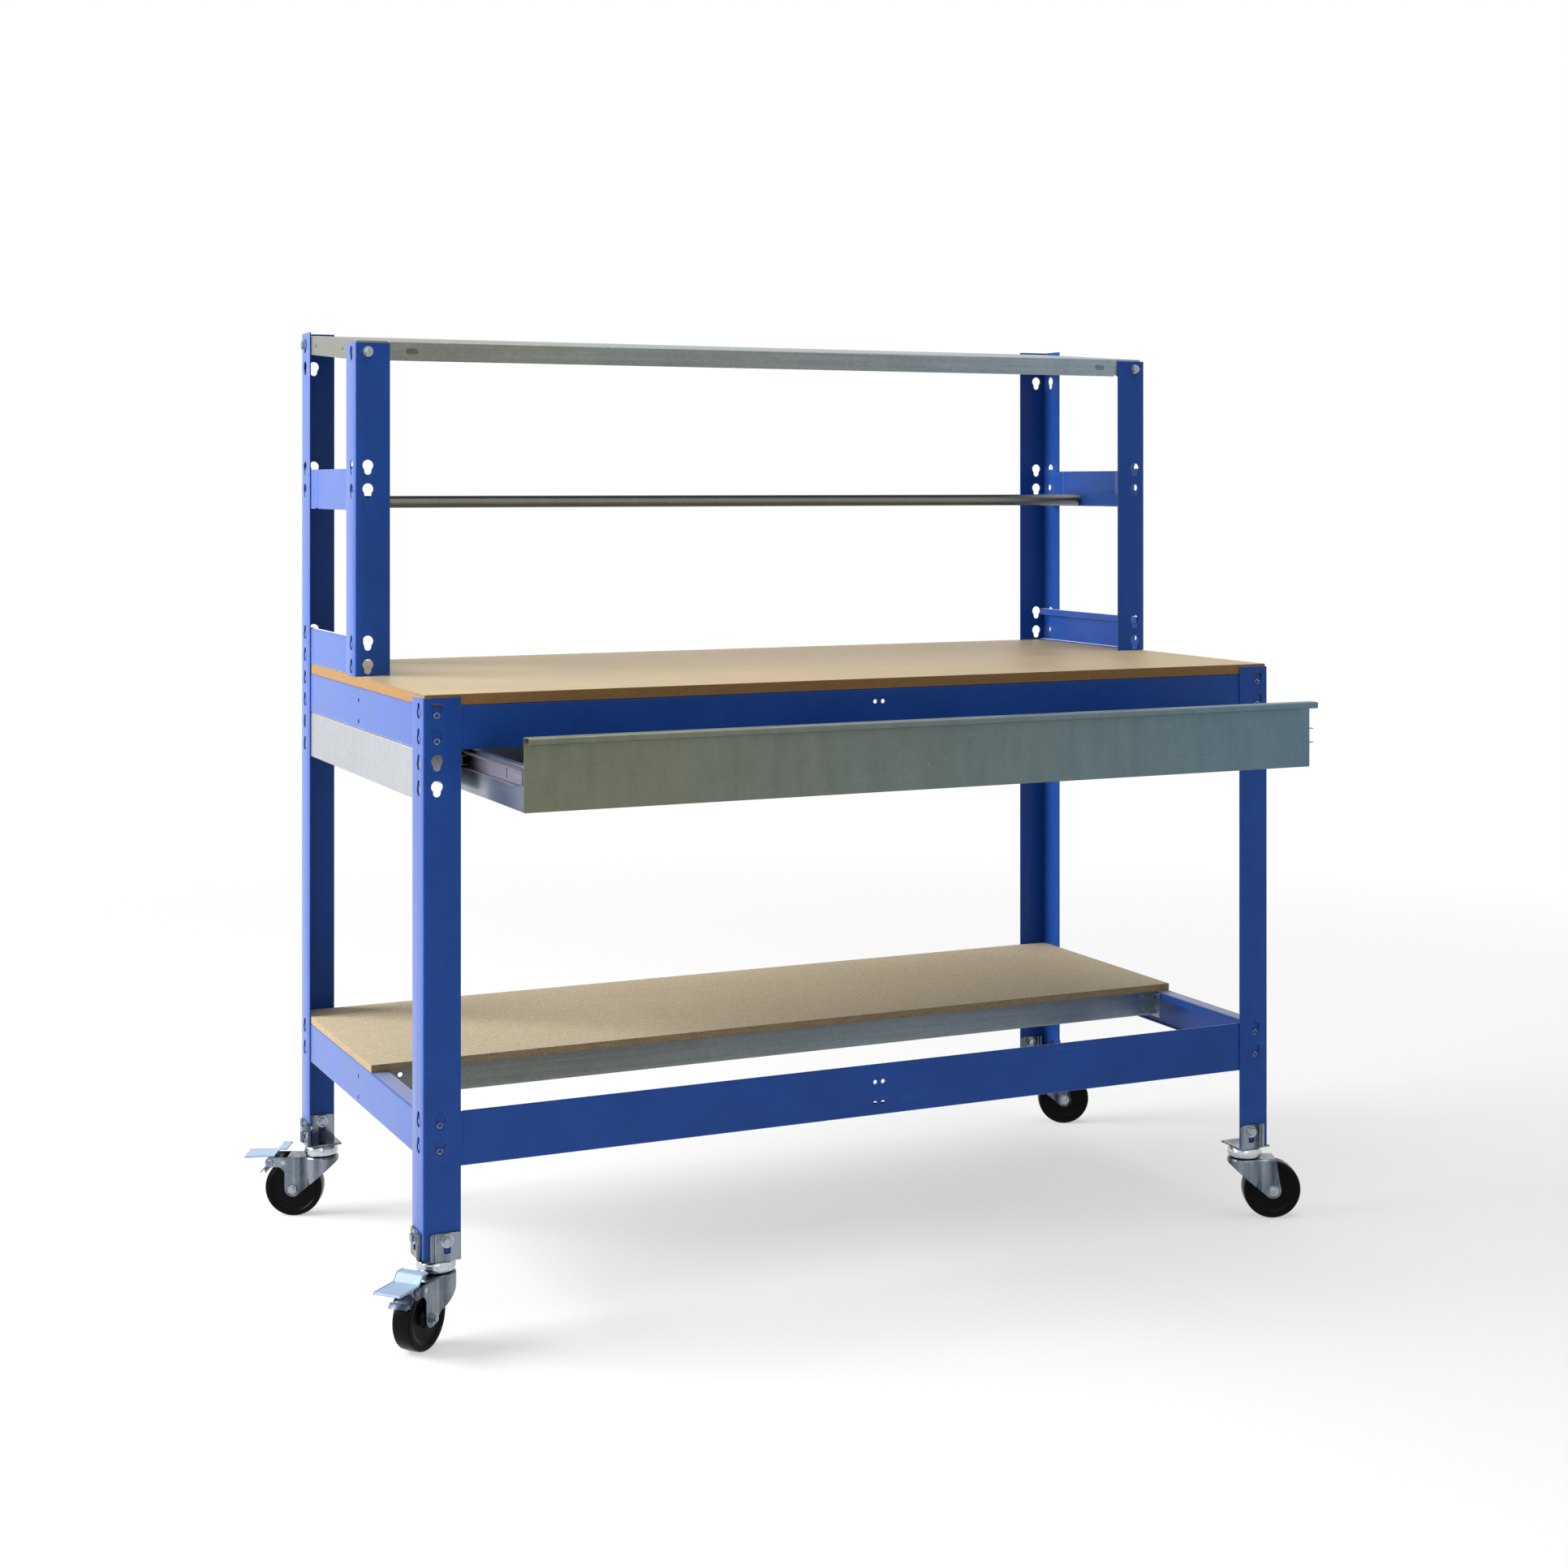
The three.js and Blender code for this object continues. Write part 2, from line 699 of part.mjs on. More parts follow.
function topShelfGeometry() {
  const half = frameWidth / 2 - innerFace - shelfSideGap;
  const long = frameWidth / 2 - flangeInset;
  const sideFlange = rectangle(0, shelfDepth, -topShelfFlange, 0);
  const longFlange = [
    point(-long, 0),
    point(flangeMitre - long, -topShelfFlange),
    point(long - flangeMitre, -topShelfFlange),
    point(long, 0),
  ];
  const pieces = [prism("z", rectangle(-half, half, 0, shelfDepth), -shelfSheet, 0)];
  const holes = [];
  const spot = sideBoltSpot();
  for (const side of [-1, 1]) {
    const [near, far] = span(side, half - shelfSheet, half);
    pieces.push(prism("x", sideFlange, near, far));
    const sideHoles = [
      circle(spot.x, spot.y, shelfBoltHole, boltSides),
      circle(shelfSideHoleInset, -topShelfFlange / 2, shelfSideHole, boltSides),
      circle(shelfDepth - shelfSideHoleInset, -topShelfFlange / 2, shelfSideHole, boltSides),
    ];
    holes.push(...sideHoles.map((hole) => prism("x", hole, near - cutOverrun, far + cutOverrun)));
    const boltX = side * (frameWidth / 2 - frontKeyholeInset) + shelfShift;
    const frontHole = circle(boltX, -shelfBoltDrop, shelfBoltHole, boltSides);
    holes.push(prism("y", frontHole, -cutOverrun, shelfSheet + cutOverrun));
  }
  for (const front of [0, shelfDepth - shelfSheet]) {
    pieces.push(prism("y", longFlange, front, front + shelfSheet));
    for (const side of [-1, 1]) {
      const corner = rectangle(...span(side, long + flangeSlit, half), -topShelfFlange, 0);
      pieces.push(prism("y", corner, front, front + shelfSheet));
    }
  }
  const slotEnd = (shelfSlotLength - shelfSlotWidth) / 2;
  for (const side of [-1, 1]) {
    const middle = side * (frameWidth / 2 - shelfSlotInset) + shelfShift;
    const slot = [
      ...arc(middle + slotEnd, -topShelfFlange / 2, shelfSlotWidth / 2, -quarterTurn, quarterTurn, slotSteps),
      ...arc(middle - slotEnd, -topShelfFlange / 2, shelfSlotWidth / 2, quarterTurn, quarterTurn * 3, slotSteps),
    ];
    holes.push(prism("y", slot, -cutOverrun, shelfSheet + cutOverrun));
  }
  return cut(joined(...pieces), ...holes);
}

// A hex bolt with its nut, along +Y: the washer face is at y = 0 and the nut clamps the grip.
function boltGeometry(grip, washerRadius = boltWasherRadius) {
  const nutFace = grip + seatGap;
  const hex = circle(0, 0, boltHexRadius, hexSides);
  return joined(
    prism("y", hex, -boltWasherThickness - boltHexHeight, -boltWasherThickness / 2),
    prism("y", circle(0, 0, washerRadius, washerSides), -boltWasherThickness, 0),
    prism("y", circle(0, 0, boltRadius, boltSides), -boltWasherThickness / 2, nutFace + boltHexHeight + boltTail),
    prism("y", hex, nutFace, nutFace + boltHexHeight),
  );
}

// Drawer, with its outer front corner at y = 0 when it is closed

const drawerWidth = frameWidth - drawerMargin * 2;
const drawerRimZ = beamBottom - drawerHeadroom;
const drawerBase = drawerRimZ - drawerSideHeight;
const frontPanelY = innerFace - drawerFrontGap - drawerSheet;

function drawerFrontGeometry() {
  const half = drawerWidth / 2;
  const panel = [
    ...arc(drawerFrontCorner - half, drawerFrontCorner, drawerFrontCorner, Math.PI, Math.PI + quarterTurn, bendSteps),
    ...arc(half - drawerFrontCorner, drawerFrontCorner, drawerFrontCorner, -quarterTurn, 0, bendSteps),
    point(half, drawerFrontHeight),
    point(-half, drawerFrontHeight),
  ];
  const pullFace = pullCorner - pullReach;
  const pullFoot = drawerFrontHeight - pullDrop;
  const crook = (radius) => [
    ...arc(pullFace, drawerFrontHeight - pullCorner, radius, quarterTurn, Math.PI, bendSteps),
    ...arc(pullFace, pullFoot + pullCorner, radius, Math.PI, quarterTurn * 3, bendSteps),
  ];
  const pull = [
    point(drawerSheet, drawerFrontHeight),
    ...crook(pullCorner),
    point(pullReturn - pullReach, pullFoot),
    point(pullReturn - pullReach, pullFoot + drawerSheet),
    ...crook(pullCorner - drawerSheet).reverse(),
    point(drawerSheet, drawerFrontHeight - drawerSheet),
  ];
  return joined(prism("y", panel, 0, drawerSheet), prism("x", pull, -half, half));
}

function drawerTrayGeometry() {
  const half = drawerWidth / 2;
  const front = drawerSheet + seatGap;
  const back = front + drawerDepth;
  const rim = drawerSideHeight;
  const uOutline = [
    point(-half, 0),
    point(half, 0),
    point(half, rim),
    point(half - drawerRim, rim),
    point(half - drawerRim, rim - drawerSheet),
    point(half - drawerSheet, rim - drawerSheet),
    point(half - drawerSheet, drawerSheet),
    point(drawerSheet - half, drawerSheet),
    point(drawerSheet - half, rim - drawerSheet),
    point(drawerRim - half, rim - drawerSheet),
    point(drawerRim - half, rim),
    point(-half, rim),
  ];
  const wall = rectangle(-half, half, 0, rim);
  return joined(
    prism("y", uOutline, front, back),
    prism("y", wall, front, front + drawerSheet),
    prism("y", wall, back - drawerSheet, back),
  );
}

// Slides, for the left side: X runs towards the drawer from the frame's outer face.
// The channel is fixed to the drawer, the rail to the support, and the balls run between them.

const channelTop = drawerRimZ - slideDrop;
const channelMiddle = channelTop - channelHeight / 2;
const channelFace = drawerMargin - seatGap;
const channelMouth = channelFace - channelReach;
const railFace = channelMouth - railRunGap - slideWall;
const railHalf = channelHeight / 2 - slideWall - (ballRadius + ballClearance) * 2;
const supportFace = railFace - seatGap;

function drawerChannelGeometry() {
  const outline = [
    point(channelMouth, channelTop),
    point(channelFace, channelTop),
    point(channelFace, channelTop - channelHeight),
    point(channelMouth, channelTop - channelHeight),
    point(channelMouth, channelTop - channelHeight + slideWall),
    point(channelFace - slideWall, channelTop - channelHeight + slideWall),
    point(channelFace - slideWall, channelTop - slideWall),
    point(channelMouth, channelTop - slideWall),
  ];
  const slotTop = channelMiddle + slotHeight / 2;
  const slot = rectangle(slotInset, slotInset + slotWidth, slotTop - slotHeight, slotTop);
  return cut(
    prism("y", outline, channelSetback, channelSetback + channelLength),
    prism("x", slot, channelFace - slideWall - cutOverrun, channelFace + cutOverrun),
  );
}

function cabinetRailGeometry() {
  const reach = railFace + railReach;
  const outline = [
    point(railFace, channelMiddle - railHalf),
    point(reach, channelMiddle - railHalf),
    point(reach, channelMiddle - railHalf + slideWall),
    point(railFace + slideWall, channelMiddle - railHalf + slideWall),
    point(railFace + slideWall, channelMiddle + railHalf - slideWall),
    point(reach, channelMiddle + railHalf - slideWall),
    point(reach, channelMiddle + railHalf),
    point(railFace, channelMiddle + railHalf),
  ];
  return toGeometry(toSolid(prism("y", outline, slideSetback, slideSetback + slideLength)));
}

// A row of balls above the rail and one below it, held by a bent strip inside the channel's web
function ballCageGeometry() {
  const ballX = channelMouth + cageInset;
  const half = railHalf + ballClearance + ballRadius;
  const stripFace = channelFace - slideWall - ballClearance * 2;
  const strip = [
    point(ballX, half - cageWall / 2),
    point(ballX, half + cageWall / 2),
    point(stripFace, half + cageWall / 2),
    point(stripFace, -half - cageWall / 2),
    point(ballX, -half - cageWall / 2),
    point(ballX, cageWall / 2 - half),
    point(stripFace - cageWall, cageWall / 2 - half),
    point(stripFace - cageWall, half - cageWall / 2),
  ].map((p) => point(p.x, p.y + channelMiddle));
  const length = ballPitch * ballsPerCage;
  const balls = [-1, 1].flatMap((row) =>
    Array.from({ length: ballsPerCage }, (_, i) =>
      new THREE.SphereGeometry(ballRadius, ballSteps, ballSteps / 2).translate(
        ballX + ballRadius,
        ballPitch * (i + 1 / 2),
        channelMiddle + row * half,
      ),
    ),
  );
  return joined(prism("y", strip, 0, length), ...balls);
}

// The folded support under each side beam, which carries the rail. Only its outer wall reaches
// into the legs.
function supportGeometry() {
  const top = beamBottom - seatGap;
  const inner = supportFace - drawerSheet;
  const folded = [
    point(innerFace, top),
    point(supportFace, top),
    point(supportFace, top - supportInnerDepth),
    point(inner, top - supportInnerDepth),
    point(inner, top - drawerSheet),
    point(innerFace, top - drawerSheet),
  ];
  const outer = rectangle(innerFace, innerFace + drawerSheet, top - supportDepth, top);
  const inset = innerFace + cornerClearance;
  return joined(
    prism("y", folded, inset + supportNotch, frameDepth - inset - supportNotch),
    prism("y", outer, inset, frameDepth - inset),
  );
}

// Casters
// Each caster's swivel axis is the Z axis, and its wheel trails towards +X.

function wheelGeometry() {
  const bore = axleRadius + axleClearance;
  const tread = wheelWidth / 2;
  const half = [
    point(bore, hubWidth / 2),
    point(hubRadius, hubWidth / 2),
    point(hubRadius + wheelEdge, tread - wheelDish),
    point(wheelRadius - wheelRim, tread - wheelDish),
    point(wheelRadius - wheelRim, tread),
    point(wheelRadius - wheelEdge, tread),
    point(wheelRadius, tread - wheelEdge),
  ];
  const mirrored = half.map((p) => point(p.x, -p.y));
  const profile = [...mirrored, ...half.reverse()];
  profile.push(profile[0].clone());
  return toGeometry(toSolid(new THREE.LatheGeometry(profile, wheelSides)));
}

function axleGeometry() {
  const face = forkInside / 2 + forkWall + seatGap;
  return joined(
    prism("y", circle(0, 0, axleRadius, washerSides), -face - axleHexHeight / 2, face + axleHexHeight + axleTail),
    prism("y", circle(0, 0, axleHexRadius, hexSides), -face - axleHexHeight, -face),
    prism("y", circle(0, 0, axleHexRadius, hexSides), face, face + axleHexHeight),
  );
}

// The head: a domed raceway with the kingpin that holds the fork under it
function headGeometry() {
  const domeFloor = forkTop + seatGap;
  const plateFace = swivelHeight - seatGap;
  const rise = plateFace - domeFloor;
  const underFork = forkTop - forkWall - seatGap;
  const belly = rise * domeBellyShare;
  const bulge = arc(0, 0, 1, -quarterTurn, quarterTurn, domeSteps).map((p) => {
    const height = p.y < 0 ? belly : rise - belly;
    return point(domeFoot + (domeRadius - domeFoot) * p.x, domeFloor + belly + height * p.y);
  });
  const profile = [
    point(0, underFork - kingpinHeadThickness),
    point(kingpinHead, underFork - kingpinHeadThickness),
    point(kingpinHead, underFork),
    point(kingpinRadius, underFork),
    point(kingpinRadius, domeFloor),
    ...bulge.slice(0, -1),
    point(domeNeck, plateFace),
    point(0, plateFace),
  ];
  return toGeometry(toSolid(revolved(profile, domeSides)));
}

// The fork is a folded shell, round at its head, cut to its side view. Braked forks have ears
// that reach back to the pedal's pivot.
function forkGeometry(braked) {
  const half = forkInside / 2 + forkWall;
  const tail = braked ? forkEarReach : trail + forkTailReach;
  const shell = (inset) => {
    const radius = forkHeadRadius - inset;
    const side = half - inset;
    const meet = Math.asin(side / radius);
    return [...arc(0, 0, radius, meet, fullTurn - meet, forkHeadSteps), point(tail, -side), point(tail, side)];
  };
  const open = shell(forkWall).map((p) => (p.x >= tail ? point(p.x + cutOverrun, p.y) : p));
  const walls = cut(prism("z", shell(0), 0, forkTop), prism("z", open, -cutOverrun, forkTop - forkWall));
  const nose = point(-forkHeadRadius - cutOverrun, forkTop - forkNose);
  const run = trail - nose.x;
  const drop = nose.y - wheelRadius;
  const slope = -Math.atan2(drop, run) - Math.asin(forkBoss / Math.hypot(run, drop));
  const crown = forkTop + cutOverrun;
  const front = [
    point(nose.x, crown),
    nose,
    ...arc(trail, wheelRadius, forkBoss, slope - quarterTurn, 0, bossSteps),
  ];
  const earMiddle = forkTop - forkEarHeight / 2;
  const sideView = braked
    ? [
        ...front,
        point(trail + forkBoss, forkTop - forkEarHeight - forkEarStep / 2),
        point(trail + forkBoss + forkEarStep / 2, forkTop - forkEarHeight),
        ...arc(tail - forkEarHeight / 2, earMiddle, forkEarHeight / 2, -quarterTurn, quarterTurn, bossSteps),
        point(pedalHeel, forkTop),
        point(pedalHeel, crown),
      ]
    : [...front, point(tail - forkTailReach / 2, crown)];
  const cutter = prism("y", sideView, -half - cutOverrun, half + cutOverrun);
  const roof = [forkTop - forkWall - cutOverrun, crown];
  const axleHole = circle(trail, wheelRadius, axleRadius + axleClearance, washerSides);
  const tools = [
    prism("y", axleHole, -half - cutOverrun, half + cutOverrun),
    prism("z", circle(0, 0, kingpinRadius + axleClearance, domeSides), ...roof),
  ];
  if (braked) {
    const pin = circle(pedalPivotReach, pedalPivotHeight, pedalPinRadius + pedalPinClearance, boltSides);
    tools.push(prism("y", pin, -half - cutOverrun, half + cutOverrun));
    const hollow = half - forkWall;
    const window = rectangle(pedalHeel + cutOverrun, tail + cutOverrun, -hollow, hollow);
    tools.push(prism("z", window, ...roof));
  }
  return cut(common(walls, cutter), ...tools);
}

// The pedal: a stepped plate on two cheeks, turning on a pin, with a folded brake shoe under it.
// Pressed down, the shoe follows the wheel.
function pedalGeometry() {
  const half = pedalWidth / 2;
  const stepTop = pedalHeelTop - pedalStep;
  const tipTop = stepTop - pedalTipDrop;
  const rampEnd = pedalStepReach + pedalRamp;
  const edge = pedalWall / 2;
  const plate = [
    point(pedalHeel, pedalHeelTop),
    point(pedalHeel, pedalHeelTop - pedalWall),
    point(pedalStepReach - pedalWall, pedalHeelTop - pedalWall),
    point(rampEnd - pedalWall, stepTop - pedalWall),
    ...arc(pedalTipReach - edge, tipTop - edge, edge, -quarterTurn, quarterTurn, bendSteps),
    point(rampEnd, stepTop),
    point(pedalStepReach, pedalHeelTop),
  ];
  const cheekFace = forkInside / 2 - pedalCheekGap;
  const pinWrap = pedalPinRadius + pedalWall;
  const cheek = [
    ...arc(pedalPivotReach, pedalPivotHeight, pinWrap, Math.PI, fullTurn, bossSteps),
    point(pedalPivotReach + pinWrap, stepTop - pedalWall),
    point(pedalPivotReach - pinWrap, stepTop - pedalWall / 2),
  ];
  const pivot = point(pedalPivotReach, pedalPivotHeight);
  const press = THREE.MathUtils.degToRad(pedalPress);
  const [start, end] = [shoeStart, shoeEnd].map(THREE.MathUtils.degToRad);
  const shoeRadius = wheelRadius + shoeClearance + shoeWall / 2;
  const shoe = [
    pivot,
    ...arc(trail, wheelRadius, shoeRadius, start, end, shoeSteps).map((p) => p.rotateAround(pivot, press)),
    point(shoeCrestReach, shoeCrestHeight),
    point(shoeTipReach, shoeTipHeight),
  ];
  const pinEnd = forkInside / 2 + forkWall + seatGap;
  const pin = circle(pivot.x, pivot.y, pedalPinRadius, boltSides);
  const pinHead = circle(pivot.x, pivot.y, pinWrap - rivetHeight, boltSides);
  return joined(
    prism("y", plate, -half, half),
    ...[-1, 1].map((side) => prism("y", cheek, ...span(side, cheekFace - pedalWall, cheekFace))),
    prism("y", pin, -pinEnd - rivetHeight / 2, pinEnd + rivetHeight / 2),
    ...[-1, 1].map((side) => prism("y", pinHead, ...span(side, pinEnd, pinEnd + rivetHeight))),
    prism("y", ribbon(shoe, shoeWall), -shoeWidth / 2, shoeWidth / 2),
  );
}

// The bracket: a plate under the foot of a leg and two uprights against its flanges, each with
// ribs, a slot and a bolt. The leg's outer corner is at the origin, as in the post.
// On a rear post the upright along X stands inside the flange.
function bracketGeometry(inside) {
  const plateTop = -seatGap;
  const plateFloor = plateTop - bracketWall;
  const outer = -seatGap - bracketWall;
  const backY = inside ? innerFace : outer;
  const plate = rectangle(outer, bracketReach, inside ? 0 : outer, bracketReach);
  const upright = [
    point(bracketCornerGap, plateFloor),
    point(bracketReach, plateFloor),
    ...arc(bracketReach - bracketCorner, bracketHeight - bracketCorner, bracketCorner, 0, quarterTurn, bendSteps),
    point(bracketCornerGap, bracketHeight),
  ];
  const slotHalf = bracketSlotWidth / 2 - bracketSlotCorner;
  const slotFloor = bracketSlotBottom + bracketSlotCorner;
  const slot = [
    point(bracketBoltInset + bracketSlotWidth / 2, bracketBoltHeight),
    point(bracketBoltInset - bracketSlotWidth / 2, bracketBoltHeight),
    ...arc(bracketBoltInset - slotHalf, slotFloor, bracketSlotCorner, Math.PI, quarterTurn * 3, bendSteps),
    ...arc(bracketBoltInset + slotHalf, slotFloor, bracketSlotCorner, -quarterTurn, 0, bendSteps),
  ];
  const rib = (index, root, crest) => {
    const middle = bracketCornerGap + bracketRib + index * bracketRibPitch;
    return [
      point(middle - bracketRib, root),
      point(middle - bracketRib / 2, crest),
      point(middle + bracketRib / 2, crest),
      point(middle + bracketRib, root),
    ];
  };
  const crestY = inside ? backY + bracketWall + bracketRib : backY - bracketRib;
  const ribs = Array.from({ length: bracketRibs }, (_, i) => [
    rib(i, backY + bracketWall / 2, crestY),
    rib(i, outer + bracketWall / 2, outer - bracketRib).map((p) => point(p.y, p.x)),
  ]).flat();
  const sheet = cut(
    joined(
      prism("y", upright, backY, backY + bracketWall),
      prism("x", upright, outer, outer + bracketWall),
      ...ribs.map((outline) => prism("z", outline, plateFloor, bracketHeight)),
      prism("z", plate, plateFloor, plateTop),
    ),
    prism("y", slot, backY - cutOverrun, backY + bracketWall + cutOverrun),
    prism("x", slot, outer - cutOverrun, outer + bracketWall + cutOverrun),
  );
  const grip = postWall + seatGap * 2 + bracketWall;
  const bolt = () => boltGeometry(grip, wideWasherRadius);
  const sideBolt = bolt().rotateZ(-quarterTurn).translate(outer, bracketBoltInset, bracketBoltHeight);
  const frontBolt = inside
    ? bolt().rotateZ(Math.PI).translate(bracketBoltInset, backY + bracketWall, bracketBoltHeight)
    : bolt().translate(bracketBoltInset, outer, bracketBoltHeight);
  return joined(sheet, sideBolt, frontBolt);
}

// Assembly

function mesh(name, geometry, paint, place = {}) {
  const piece = new THREE.Mesh(geometry, paint);
  piece.name = name;
  piece.position.set(place.x ?? 0, place.y ?? 0, place.z ?? 0);
  piece.rotation.set(place.tilt ?? 0, 0, place.turn ?? 0);
  piece.scale.set(place.flipX ? -1 : 1, place.flipY ? -1 : 1, 1);
  return piece;
}

const halfWidth = frameWidth / 2;
const halfDepth = frameDepth / 2;
const workbench = new THREE.Group();
const frame = new THREE.Group();
frame.position.z = footHeight;
workbench.add(frame);

const corners = [
  { name: "front_left", x: -halfWidth, y: -halfDepth, flipX: false, flipY: false },
  { name: "front_right", x: halfWidth, y: -halfDepth, flipX: true, flipY: false },
  { name: "rear_left", x: -halfWidth, y: halfDepth, flipX: false, flipY: true },
  { name: "rear_right", x: halfWidth, y: halfDepth, flipX: true, flipY: true },
];

for (const corner of corners) {
  const rear = corner.flipY;
  const name = rear ? `post_${corner.name}` : `leg_${corner.name}`;
  frame.add(mesh(name, rear ? rearPostGeometry : legGeometry, bluePaint, corner));
}

const upperY = upperSetback - halfDepth;
for (const [side, flipX] of [["left", false], ["right", true]]) {
  const x = flipX ? halfWidth : -halfWidth;
  frame.add(mesh(`upper_post_${side}`, upperPostGeometry, bluePaint, { x, y: upperY, z: upperFoot, flipX }));
}

// Beams and rails: front and rear along X, left and right turned so that they face out
const beamSides = [
  { side: "front", x: 0, y: innerFace - halfDepth, turn: 0 },
  { side: "rear", x: 0, y: halfDepth - innerFace, turn: Math.PI },
  { side: "left", x: innerFace - halfWidth, y: 0, turn: -quarterTurn },
  { side: "right", x: halfWidth - innerFace, y: 0, turn: quarterTurn },
];

for (const { side, ...place } of beamSides) {
  const front = side === "front";
  const long = front || side === "rear";
  frame.add(mesh(`worktop_beam_${side}`, long ? worktopBeam : sideBeam, bluePaint, { ...place, z: beamTop }));
  const longLower = front ? frontLowerBeam : rearLowerBeam;
  const lowerZ = lowerBeamTop + (front ? frontLowerBeamRise : 0);
  frame.add(mesh(`lower_beam_${side}`, long ? longLower : sideBeam, bluePaint, { ...place, z: lowerZ }));
}

const upperMiddle = upperY + upperDepth / 2;
const upperRail = upperRailGeometry();
const rollRail = rollRailGeometry();
for (const { side, ...place } of beamSides.slice(2)) {
  const railPlace = { ...place, y: upperMiddle };
  frame.add(mesh(`upper_rail_${side}`, upperRail, bluePaint, { ...railPlace, z: upperFoot + upperRailHeight }));
  frame.add(mesh(`roll_rail_${side}`, rollRail, bluePaint, { ...railPlace, z: rollRailTop }));
}

const rollBarHalf = halfWidth - innerFace - rollRailJoggle - beamWall - rollBarEndGap;
const rollBarZ = rollRailTop - rollRailHeight + beamWall + seatGap + rollBarRadius;
const rollBar = cut(
  prism("x", circle(0, 0, rollBarRadius, tubeSides), -rollBarHalf, rollBarHalf),
  prism("x", circle(0, 0, rollBarBore, tubeSides), -rollBarHalf - cutOverrun, rollBarHalf + cutOverrun),
);
frame.add(mesh("roll_bar", rollBar, greySteel, { y: upperMiddle, z: rollBarZ }));

frame.add(mesh("worktop_board", boardGeometry(innerFace + boardGap, boardThickness), hardboard, { z: worktopBottom }));
frame.add(
  mesh("lower_shelf_board", boardGeometry(shelfSetback, shelfThickness), chipboard, { z: lowerBeamTop + seatGap }),
);
const crossBeamY = shelfSetback - halfDepth + crossBeamTab / 2;
frame.add(mesh("shelf_cross_beam", crossBeamGeometry(), galvanised, { y: crossBeamY, z: lowerBeamTop }));

const shelfPlace = { x: -shelfShift, y: upperY + innerFace, z: shelfFrontZ, tilt: shelfTilt };
frame.add(mesh("top_shelf", topShelfGeometry(), galvanised, shelfPlace));
const shelfBoltLean = (shelfBoltDrop + boltHexRadius) * Math.sin(shelfTilt);
const frontShelfBolt = boltGeometry(seatGap + innerFace + shelfSheet + shelfBoltLean);
const rearBoltY = halfDepth - sideKeyholeInset;
for (const [side, sign, flangeFace] of [["left", -1, leftFlangeFace], ["right", 1, rightFlangeFace]]) {
  const frontPlace = {
    x: sign * (halfWidth - frontKeyholeInset),
    y: upperY - seatGap,
    z: shelfFrontZ - shelfBoltDrop,
  };
  const rearPlace = {
    x: sign * (halfWidth + seatGap),
    y: rearBoltY,
    z: shelfRearZ - shelfBoltDrop,
    turn: sign * quarterTurn,
  };
  const sideBolt = boltGeometry(seatGap + flangeFace + shelfSheet);
  frame.add(mesh(`shelf_bolt_front_${side}`, frontShelfBolt, zincPlate, frontPlace));
  frame.add(mesh(`shelf_bolt_rear_${side}`, sideBolt, zincPlate, rearPlace));
}

// Drawer and slides
const drawerY = frontPanelY - halfDepth - drawerOpening;
frame.add(mesh("drawer_front", drawerFrontGeometry(), galvanised, { y: drawerY, z: drawerBase }));
frame.add(mesh("drawer_tray", drawerTrayGeometry(), galvanised, { y: drawerY, z: drawerBase }));
const channel = drawerChannelGeometry();
const rail = cabinetRailGeometry();
const cage = ballCageGeometry();
const support = supportGeometry();
const cageY = slideSetback + (slideLength - ballPitch * ballsPerCage) / 2 - drawerOpening / 2;
for (const [side, flipX] of [["left", false], ["right", true]]) {
  const x = flipX ? halfWidth : -halfWidth;
  frame.add(mesh(`drawer_channel_${side}`, channel, galvanised, { x, y: -halfDepth - drawerOpening, flipX }));
  frame.add(mesh(`cabinet_rail_${side}`, rail, galvanised, { x, y: -halfDepth, flipX }));
  frame.add(mesh(`ball_cage_${side}`, cage, zincPlate, { x, y: cageY - halfDepth, flipX }));
  frame.add(mesh(`drawer_support_${side}`, support, galvanised, { x, y: -halfDepth, flipX }));
}

// Casters
const head = headGeometry();
const wheel = wheelGeometry();
const axle = axleGeometry();
const pedal = pedalGeometry();
const brackets = { front: bracketGeometry(false), rear: bracketGeometry(true) };
const forks = { left: forkGeometry(true), right: forkGeometry(false) };
for (const corner of corners) {
  const braked = !corner.flipX;
  frame.add(mesh(`caster_bracket_${corner.name}`, corner.flipY ? brackets.rear : brackets.front, zincPlate, corner));
  const inwardX = corner.flipX ? -1 : 1;
  const inwardY = corner.flipY ? -1 : 1;
  const caster = new THREE.Group();
  caster.position.set(corner.x + inwardX * swivelInset, corner.y + inwardY * swivelInset, 0);
  caster.add(mesh(`caster_head_${corner.name}`, head, zincPlate));
  const swivel = new THREE.Group();
  swivel.rotation.z = THREE.MathUtils.degToRad(trailAngles[corner.name]);
  swivel.add(mesh(`caster_fork_${corner.name}`, braked ? forks.left : forks.right, zincPlate));
  swivel.add(mesh(`caster_wheel_${corner.name}`, wheel, blackPlastic, { x: trail, z: wheelRadius }));
  swivel.add(mesh(`caster_axle_${corner.name}`, axle, zincPlate, { x: trail, z: wheelRadius }));
  if (braked) swivel.add(mesh(`brake_pedal_${corner.name}`, pedal, pedalPaint));
  caster.add(swivel);
  workbench.add(caster);
}

// The origin is on the floor, under the middle of the whole workbench with its drawer open.
const bounds = new THREE.Box3().setFromObject(workbench, true);
const middle = bounds.getCenter(new THREE.Vector3());
workbench.position.set(-middle.x, -middle.y, -bounds.min.z);

export default workbench;
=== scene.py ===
import math

import bmesh
import bpy
from mathutils import Matrix, Vector


